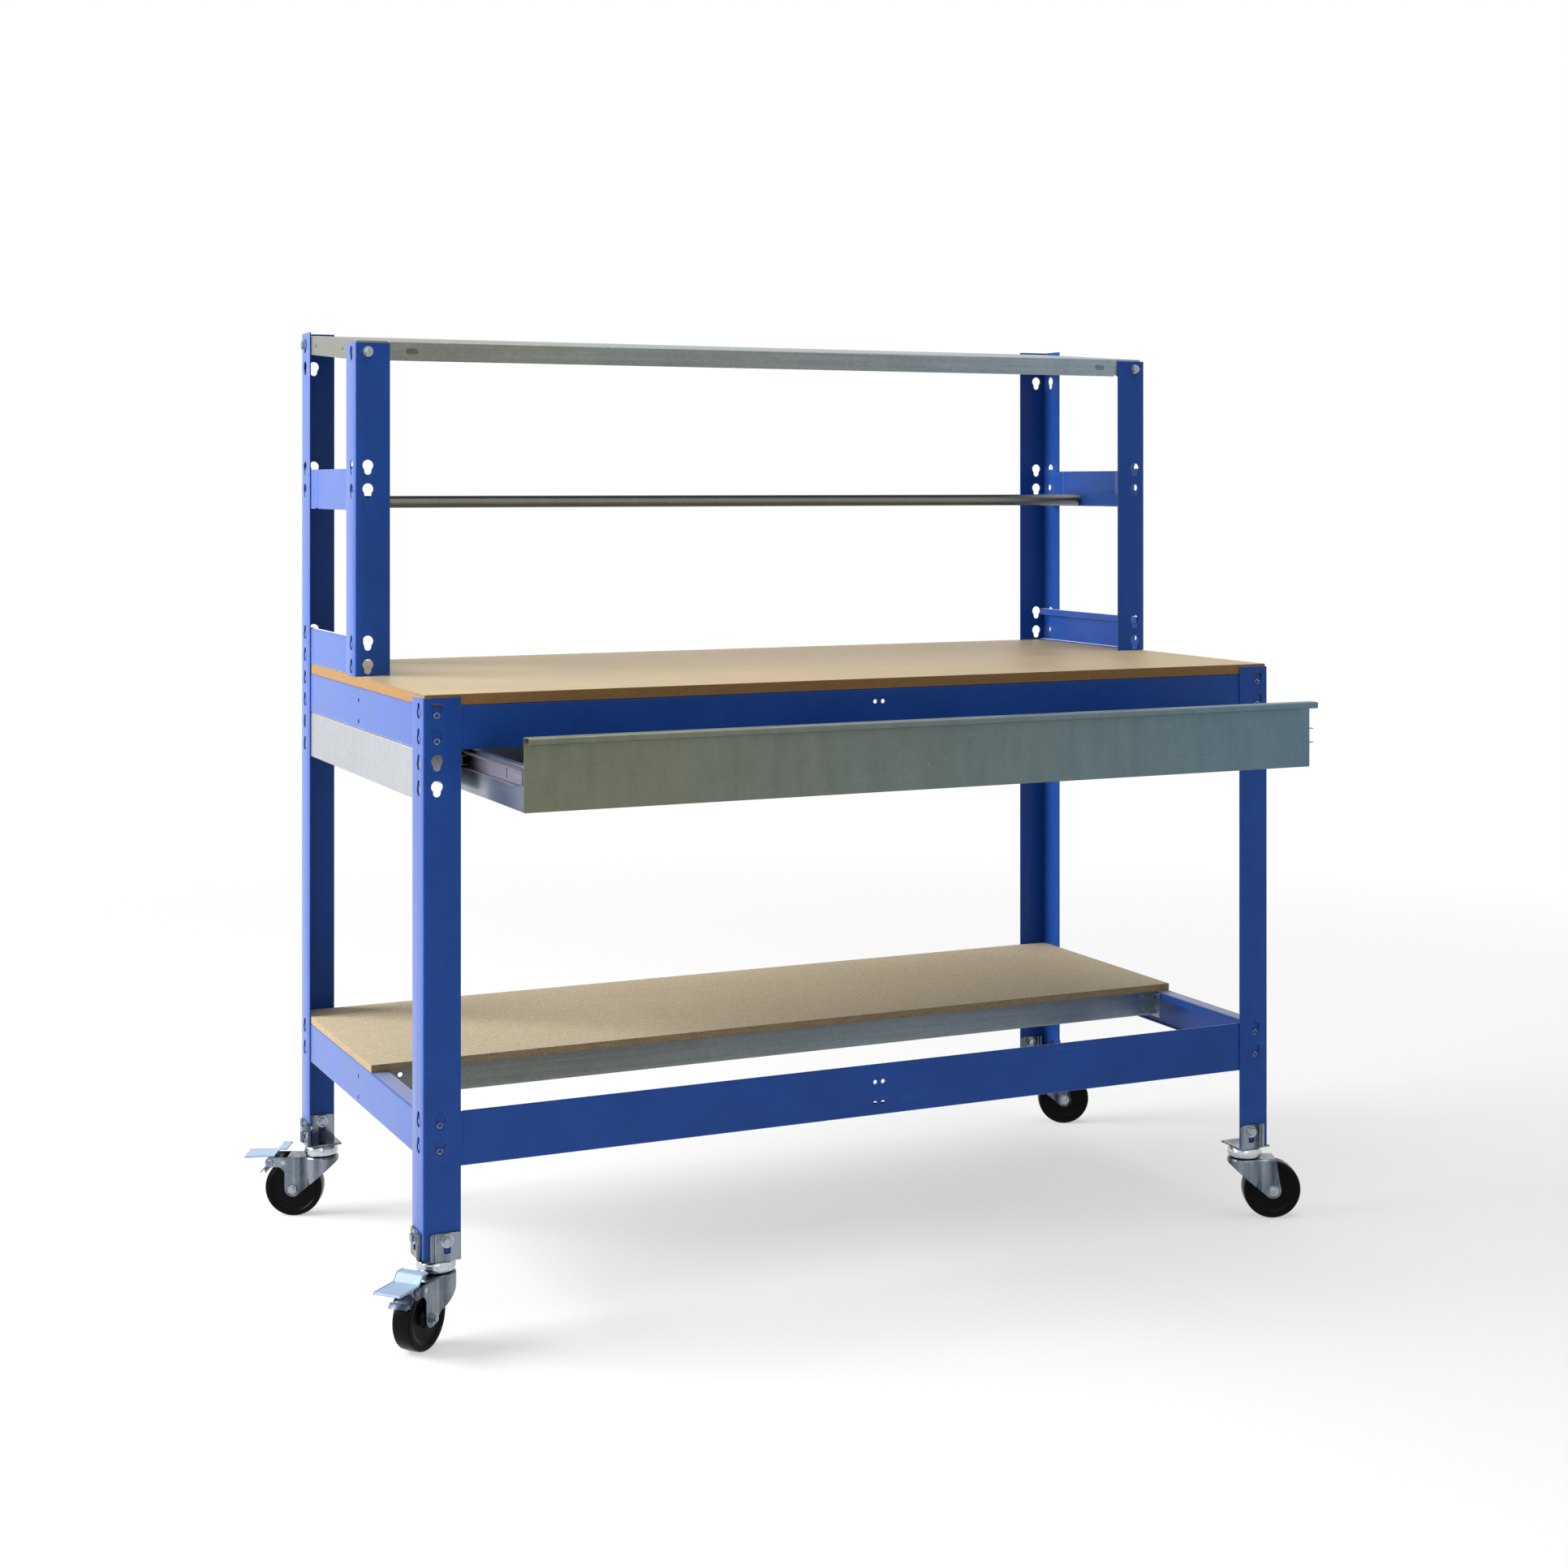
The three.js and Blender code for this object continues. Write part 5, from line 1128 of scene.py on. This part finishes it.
def addCage(side, flip):
    low, high, (reach, length, height) = sizeOf(f"ball_cage_{side}")
    place = mirrored(high.x if flip > 0 else low.x, low.y, ((low + high) / 2).z, flip)
    sheet, rise = cage["sheet"], (height - 2 * cage["ball"]) / 2
    near, far = -sheet / 2, cage["edge"] - reach
    target = bmesh.new()
    line = [(far, rise), (near, rise), (near, -rise), (far, -rise)]
    addSheet(target, place, line, sheet, 0, length, "y", sheet)
    count = int(length / cage["pitch"])
    spots = [(place @ Vector((cage["ball"] - reach, (i + 0.5) * length / count, row * rise)), (0, 0, 1))
             for row in (-1, 1) for i in range(count)]
    addCopies(target, spots, ballTree, boltZinc, {"Ball": cage["ball"]})
    dress(f"ball_cage_{side}", target, [boltZinc], f"cage_{side}", 40)


for side, flip in (("left", 1), ("right", -1)):
    addSlides(side, flip)
    addSupport(side, flip)
    addCage(side, flip)
print("drawer and slides made")


# Casters: each is drawn round its swivel axis, with the wheel trailing along X

caster = {"swivel": 28.25, "trail": 46, "wheel": 50, "underside": 125.5}
angles = {"front_left": 220.3, "front_right": -24.9, "rear_left": 155, "rear_right": -24.9}
fork = {"top": 104.5, "wall": 2.5, "half": 22.5, "head": 30, "round": 3.5, "innerRound": 1.5, "boss": 14,
        "nose": 7.5, "tail": 14, "ear": 94, "earHeight": 17, "earStep": 16, "earBend": 8, "pin": 9,
        "axleHole": 5.4, "plainSide": ((57.6, 64), (52.2, 98)), "plainEnd": 51, "slotStart": 56,
        "pinPlay": 0.4}
# the tools that carve the fork: half their width, the levels of their feet, and how far they reach past it
carving = {"half": 30, "foot": 20, "innerFoot": 10, "crown": 2, "tail": 5, "slotTail": 8, "slotDepth": 6,
           "pinDepth": 8}
pivot = {"reach": 84, "height": 96.5, "pin": 3.5}
# the steps give a radius and how far it lies behind the hub's or the tread's outer face
wheel = {"width": 32, "hub": 37, "hubSteps": ((5.4, 0), (8, 0), (9, 0.8), (12.8, 1), (14, 2)),
         "treadSteps": ((16, 3.5), (18, 4), (33, 4), (35, 3.4), (38.5, 2.4), (40, 1.2), (41, 0.2), (43.5, 0),
                        (44.2, 0.5), (45, 0.5), (46.5, 0.2), (48.3, 1.2), (49.4, 3), (49.9, 7))}
head = {"gap": 0.3, "middle": 23, "bulge": 6.5, "belly": 0.4, "domeEnd": 1.42, "crown": 17.5, "neck": 8,
        "nutSteps": ((0, 2.6), (9, 2.6), (11.4, 1.6), (12, 0.3), (12, 0), (8, 0))}


def planOutline(inset, tail, steps=40):
    radius, side = fork["head"] - inset, fork["half"] - inset
    meet = math.asin(side / radius)
    return [*arc(0, 0, radius, meet, math.tau - meet, steps), Vector((tail, -side)), Vector((tail, side))]


def roundedTop(inset, tail, low, top, rounding, steps=4):
    def build(part):
        rings = []
        for i in range(steps + 1):
            turn = quarterTurn * i / steps
            drawn = rounding * (1 - math.cos(turn))
            height = top - rounding + rounding * math.sin(turn)
            rings.append([part.verts.new((*p, height)) for p in planOutline(inset + drawn, tail)])
        rings.insert(0, [part.verts.new((*p, low)) for p in planOutline(inset, tail)])
        for below, above in zip(rings, rings[1:]):
            for i in range(len(below)):
                j = (i + 1) % len(below)
                part.faces.new((below[i], below[j], above[j], above[i]))
        part.faces.new(rings[0])
        part.faces.new(rings[-1])
        bmesh.ops.recalc_face_normals(part, faces=part.faces)
    return solidOf(build)


def forkMesh(braked):
    trail, axle, boss, top, wall = caster["trail"], caster["wheel"], fork["boss"], fork["top"], fork["wall"]
    tail = fork["ear"] if braked else trail + fork["tail"]
    outer = roundedTop(0, tail, carving["foot"], top, fork["round"])
    inner = roundedTop(wall, tail + carving["tail"], carving["innerFoot"], top - wall, fork["innerRound"])
    crown, across = top + carving["crown"], (-carving["half"], carving["half"], "y")
    nose = Vector((-fork["head"] - 1, top - fork["nose"]))
    run, drop = trail - nose.x, nose.y - axle
    slope = -math.atan2(drop, run) - math.asin(boss / math.hypot(run, drop))
    side = [(nose.x, crown), nose, *arc(trail, axle, boss, slope - quarterTurn, 0, 14)]
    if braked:
        under, step, radius = top - fork["earHeight"], fork["earStep"] / 2, fork["earHeight"] / 2
        side += filleted([(trail + boss, axle + 3), (trail + boss, under - step), (trail + boss + step, under),
                          (tail - radius, under)], fork["earBend"], 6)
        side += [*arcs(radius, 16, (tail - radius, under + radius, -1, 1)), (tail - radius, crown)]
    else:
        side += [*fork["plainSide"], (fork["plainEnd"], crown)]
    holes = [(roundOutline(trail, axle, fork["axleHole"]), *across),
             (roundOutline(0, 0, fork["pin"]), top - carving["pinDepth"], crown, "z")]
    if braked:
        hollow = fork["half"] - wall
        slot = boxOutline(fork["slotStart"], tail + carving["slotTail"], -hollow, hollow)
        holes += [(roundOutline(pivot["reach"], pivot["height"], pivot["pin"] + fork["pinPlay"]), *across),
                  (slot, top - carving["slotDepth"], crown, "z")]
    steps = [("INTERSECT", barSolid(side, *across)), ("DIFFERENCE", inner)]
    return carved(outer, steps + [("DIFFERENCE", barSolid(*hole)) for hole in holes])


def wheelProfile():
    hub, tread = wheel["hub"] / 2, wheel["width"] / 2
    half = [*((radius, hub - drop) for radius, drop in wheel["hubSteps"]),
            *((radius, tread - drop) for radius, drop in wheel["treadSteps"])]
    return [*half, (caster["wheel"], 0), *((radius, -z) for radius, z in reversed(half)), half[0]]


def headProfile():
    low, top = fork["top"] + head["gap"], caster["underside"] - head["gap"]
    under = fork["top"] - fork["wall"] - head["gap"]
    belly = (top - low) * head["belly"]
    bow = arc(0, 0, 1, -quarterTurn, head["domeEnd"], 16)
    dome = [(head["middle"] + head["bulge"] * x, low + belly + y * (belly if y < 0 else top - low - belly))
            for x, y in bow]
    nut = [(radius, under - drop) for radius, drop in head["nutSteps"]]
    return [*nut, (head["neck"], low), *dome, (head["crown"], top), (0, top)]


bracket = {"gap": 0.3, "wall": 2.5, "reach": 57.5, "tall": 39, "edge": 9, "foot": 0.9, "rim": 0.35,
           "rearFace": 2.3, "baseRadius": 1.5, "outerRadius": 5, "innerRadius": 2,
           "slotTop": ((41.5, 27), (30.5, 27)), "slotRadius": 3,
           "slotTurns": ((33.5, 11, 2, 3), (38.5, 11, -1, 0)),
           "ribs": (11.6, 18.6), "ribRadius": 2.6, "ribSunk": 0.2, "ribFoot": 0.5, "ribTop": 1.5,
           "boltInset": 36, "boltLevel": 27, "grip": 5.1, "washer": 10}


def addBracket(corner):
    rear = corner.startswith("rear")
    place = inCorner(corner, footHeight)
    wall, reach, tall, edge, rim = (bracket[key] for key in ("wall", "reach", "tall", "edge", "rim"))
    outer = -bracket["gap"] - wall
    back, away = (bracket["rearFace"], 1) if rear else (outer, -1)
    front = back + wall if rear else back
    outerTurn, innerTurn = bracket["outerRadius"], bracket["innerRadius"]
    upright = [(edge, -bracket["foot"]), (reach, -bracket["foot"]),
               *arcs(outerTurn, 6, (reach - outerTurn, tall - outerTurn, 0, 1)),
               *arcs(innerTurn, 4, (edge + innerTurn, tall - innerTurn, 1, 2))]
    slot = [*bracket["slotTop"], *arcs(bracket["slotRadius"], 6, *bracket["slotTurns"])]
    target = bmesh.new()
    base = boxOutline(outer, reach, 0 if rear else outer, reach, bracket["baseRadius"])
    addPlate(target, place, base, [], outer, wall, "z", rim)
    addPlate(target, place, upright, [slot], back, wall, "y", rim)
    addPlate(target, place, upright, [slot], outer, wall, "x", rim)
    for middle in bracket["ribs"]:
        rib = arcs(bracket["ribRadius"], 10, (middle, -bracket["ribSunk"], 2, 0))
        for outline in ([(p.x, front + away * p.y) for p in rib], [(outer - p.y, p.x) for p in rib]):
            addBar(target, place, outline, outer + bracket["ribFoot"], tall - bracket["ribTop"], "z")
    inset, level = bracket["boltInset"], bracket["boltLevel"]
    spots = [(place @ Vector((outer, inset, level)), facing(place, -1, 0, 0)),
             (place @ Vector((inset, front, level)), facing(place, 0, away, 0))]
    sizes = {"Grip": bracket["grip"], "Washer": bracket["washer"], **boltSizes}
    addCopies(target, spots, boltTree, boltZinc, sizes, 1)
    dress(f"caster_bracket_{corner}", target, [casterZinc, boltZinc])


pedal = {"half": 22.6, "lip": 1.2, "wall": 2.5, "heel": 55, "heelTop": 120, "stepReach": 71, "ramp": 10,
         "stepTop": 108, "tip": 130.7, "tipTop": 107, "cheek": 19, "cheekRadius": 6, "cheekSunk": 2, "bend": 4,
         "press": 8, "soft": 0.6, "cheekSoft": 0.4}
# the pin's steps give a radius and how far out it lies, from the middle of its end to the shank
pin = ((0, 24.3), (4, 24.3), (4.8, 23.4), (5, 22.8), (pivot["pin"], 22.8))
shoe = {"half": 16, "wall": 2, "bend": 1.5, "clearance": 0.8, "start": 47, "end": 29, "crest": (97, 83.5),
        "tip": (103.5, 76.5)}


def addPedal(corner, place):
    target = bmesh.new()
    wall, half, tipEnd, tipTop = pedal["wall"], pedal["half"], pedal["tip"], pedal["tipTop"]
    edge, step = wall / 2, pedal["stepReach"]
    line = filleted([(pedal["heel"], pedal["heelTop"] - edge), (step - edge, pedal["heelTop"] - edge),
                     (step + pedal["ramp"] - edge, pedal["stepTop"] - edge), (tipEnd - edge, tipTop - edge)],
                    pedal["bend"], 6)
    upper, lower = offsetLine(line, edge), offsetLine(line, -edge)
    # the tread thickens towards its tip
    radius = edge + pedal["lip"] / 2
    lower[-1] = Vector((tipEnd - radius, tipTop - 2 * radius))
    upper[-1] = Vector((tipEnd - radius, tipTop))
    tip = arcs(radius, 8, (tipEnd - radius, tipTop - radius, 1, -1))[1:-1]
    addBar(target, place, upper + tip + lower[::-1], -half, half, "y", pedal["soft"], 3)
    reach, level, radius = pivot["reach"], pivot["height"], pedal["cheekRadius"]
    top = pedal["stepTop"] - pedal["cheekSunk"]
    for sign in (-1, 1):
        ends = sorted((sign * pedal["cheek"], sign * (pedal["cheek"] - wall)))
        cheek = [*arcs(radius, 12, (reach, level, 2, 4)), (reach + radius, top), (reach - radius, top)]
        addBar(target, place, cheek, *ends, "y", pedal["cheekSoft"], 1)
    dress(f"brake_pedal_{corner}", target, [pedalBlue], f"pedal_{corner}")

    # the pin and the folded shoe, which follows the wheel when it is pressed
    target = bmesh.new()
    profile = [*((r, -z) for r, z in pin), *reversed(pin)]
    addRevolved(target, place @ Matrix.Translation((reach, 0, level)), profile, 32, "y")
    back = Matrix.Rotation(math.radians(pedal["press"]), 2)
    hinge = Vector((reach, level))
    radius = caster["wheel"] + shoe["clearance"] + shoe["wall"] / 2
    start, end = math.radians(shoe["start"]), math.radians(shoe["end"])
    bow = arc(caster["trail"], caster["wheel"], radius, start, end, 6)
    path = [hinge, *[hinge + back @ (p - hinge) for p in bow], shoe["crest"], shoe["tip"]]
    addSheet(target, place, path, shoe["wall"], -shoe["half"], shoe["half"], "y", shoe["bend"], 3)
    addPiece(f"brake_shoe_{corner}", target, [casterZinc], f"pedal_{corner}")


forkShapes = {"left": forkMesh(True), "right": forkMesh(False)}
earRivet = {"reach": 62, "height": 95.5, "sizes": {"Shank": 3, "Length": 2, "Head": 4.5, "Dome": 1.5}}
axleBolt = {"face": 22.8,
            "sizes": {"Washer": 9.5, "Hex": 8.2, "Height": 5.5, "Shank": 5, "Grip": 45.6, "Tail": 3}}

for corner, (x, y, flipX, flipY) in corners.items():
    side = "left" if flipX > 0 else "right"
    centre = (x + flipX * caster["swivel"] * mm, y + flipY * caster["swivel"] * mm, 0)
    place = at(*centre, math.radians(angles[corner]))
    addBracket(corner)

    target = bmesh.new()
    addRevolved(target, at(*centre), headProfile(), 64)
    dress(f"caster_head_{corner}", target, [headZinc])

    target = bmesh.new()
    addMesh(target, forkShapes[side], place)
    if side == "left":
        reach, level = earRivet["reach"], earRivet["height"]
        spots = [(place @ Vector((reach, sign * fork["half"], level)), facing(place, 0, sign, 0))
                 for sign in (-1, 1)]
        addCopies(target, spots, rivetTree, boltZinc, earRivet["sizes"], 1)
    dress(f"caster_fork_{corner}", target, [casterZinc, boltZinc], f"swivel_{corner}", 28)

    axis = place @ Matrix.Translation((caster["trail"], 0, caster["wheel"]))
    target = bmesh.new()
    addRevolved(target, axis, wheelProfile(), 96, "y")
    dress(f"caster_wheel_{corner}", target, [wheelBlack], f"wheel_{corner}", 24)

    target = bmesh.new()
    spots = [(axis @ Vector((0, -axleBolt["face"], 0)), facing(place, 0, -1, 0))]
    addCopies(target, spots, boltTree, boltZinc, axleBolt["sizes"])
    dress(f"caster_axle_{corner}", target, [boltZinc], f"swivel_{corner}")
    if side == "left":
        addPedal(corner, place)
print("casters made")


# Room, lights and camera

room = {"reach": 30, "grey": 0.88, "near": 0.5, "clear": 1.4, "fade": 4.2, "dim": 0.31}


def seenRays(tree):
    path = tree.nodes.new("ShaderNodeLightPath").outputs
    direct = mathNode(tree, "MAXIMUM", path["Is Camera Ray"], path["Is Glossy Ray"])
    return mathNode(tree, "MAXIMUM", direct, path["Is Transmission Ray"])


reach = room["reach"]
floorMesh = bpy.data.meshes.new("floor")
floorCorners = [(*p, 0) for p in boxOutline(-reach, reach, -reach, reach)]
floorMesh.from_pydata(floorCorners, [], [(0, 1, 2, 3)])
floor = newObject("floor", floorMesh)
floorFinish, tree, shader = newFinish("pale_floor", {"Roughness": 0.9, "Base Color": (*[room["grey"]] * 3, 1)})
floorMesh.materials.append(floorFinish)

# the floor runs out into white away from the bench, and keeps its shadow near it
away = addNode(tree, "ShaderNodeVectorMath", "Value", {0: objectPlace(tree)}, operation="LENGTH")
whiter = rampNode(tree, away, room["clear"], room["fade"], room["near"], 1.0)
blend = addNode(tree, "ShaderNodeMixShader", "Shader", {
    0: scaled(tree, whiter, seenRays(tree)),
    1: shader.outputs["BSDF"],
    2: addNode(tree, "ShaderNodeEmission", "Emission"),
})
tree.links.new(blend, tree.nodes["Material Output"].inputs["Surface"])

world = bpy.data.worlds.new("studio")
bpy.context.scene.world = world
world.use_nodes = True
tree = world.node_tree
background = tree.nodes["Background"].inputs
feed(tree, rampNode(tree, seenRays(tree), 0, 1, room["dim"], 1.0), background["Strength"])
feed(tree, (1, 1, 1, 1), background["Color"])

lamps = {
    "key": {"place": (-4.4, 1.5, 2.5), "aim": (0, 0, 0.8), "size": 3.2, "power": 440},
    "front": {"place": (-1.6, -5.2, 2.6), "aim": (0, 0, 0.7), "size": 3.0, "power": 24},
    "top": {"place": (0.4, -0.6, 4.6), "aim": (0, 0, 0), "size": 3.4, "power": 90},
}
for name, spec in lamps.items():
    light = bpy.data.lights.new(name, "AREA")
    light.shape = "SQUARE"
    light.size = spec["size"]
    light.energy = spec["power"]
    lamp = newObject(name, light)
    lamp.location = spec["place"]
    lamp.rotation_euler = (Vector(spec["aim"]) - Vector(spec["place"])).to_track_quat("-Z", "Y").to_euler()

# The view: the photograph's eye point from the outer front left foot, and its yaw to the right of +Y
view = {"eye": (-1.0314, -3.4936, 1.1532), "yaw": 24.89, "pitch": 0.1, "lens": 55.77, "shiftY": -0.194}
camera = newObject("camera", bpy.data.cameras.new("camera"))
camera.location = Vector(nearCorner) + Vector(view["eye"])
camera.rotation_euler = (quarterTurn + math.radians(view["pitch"]), 0, -math.radians(view["yaw"]))
camera.data.sensor_width = 36
camera.data.lens = view["lens"]
camera.data.shift_y = view["shiftY"]
camera.data.clip_end = 100
bpy.context.scene.camera = camera
bpy.context.scene.view_settings.view_transform = "Standard"
print("room, lights and camera set")
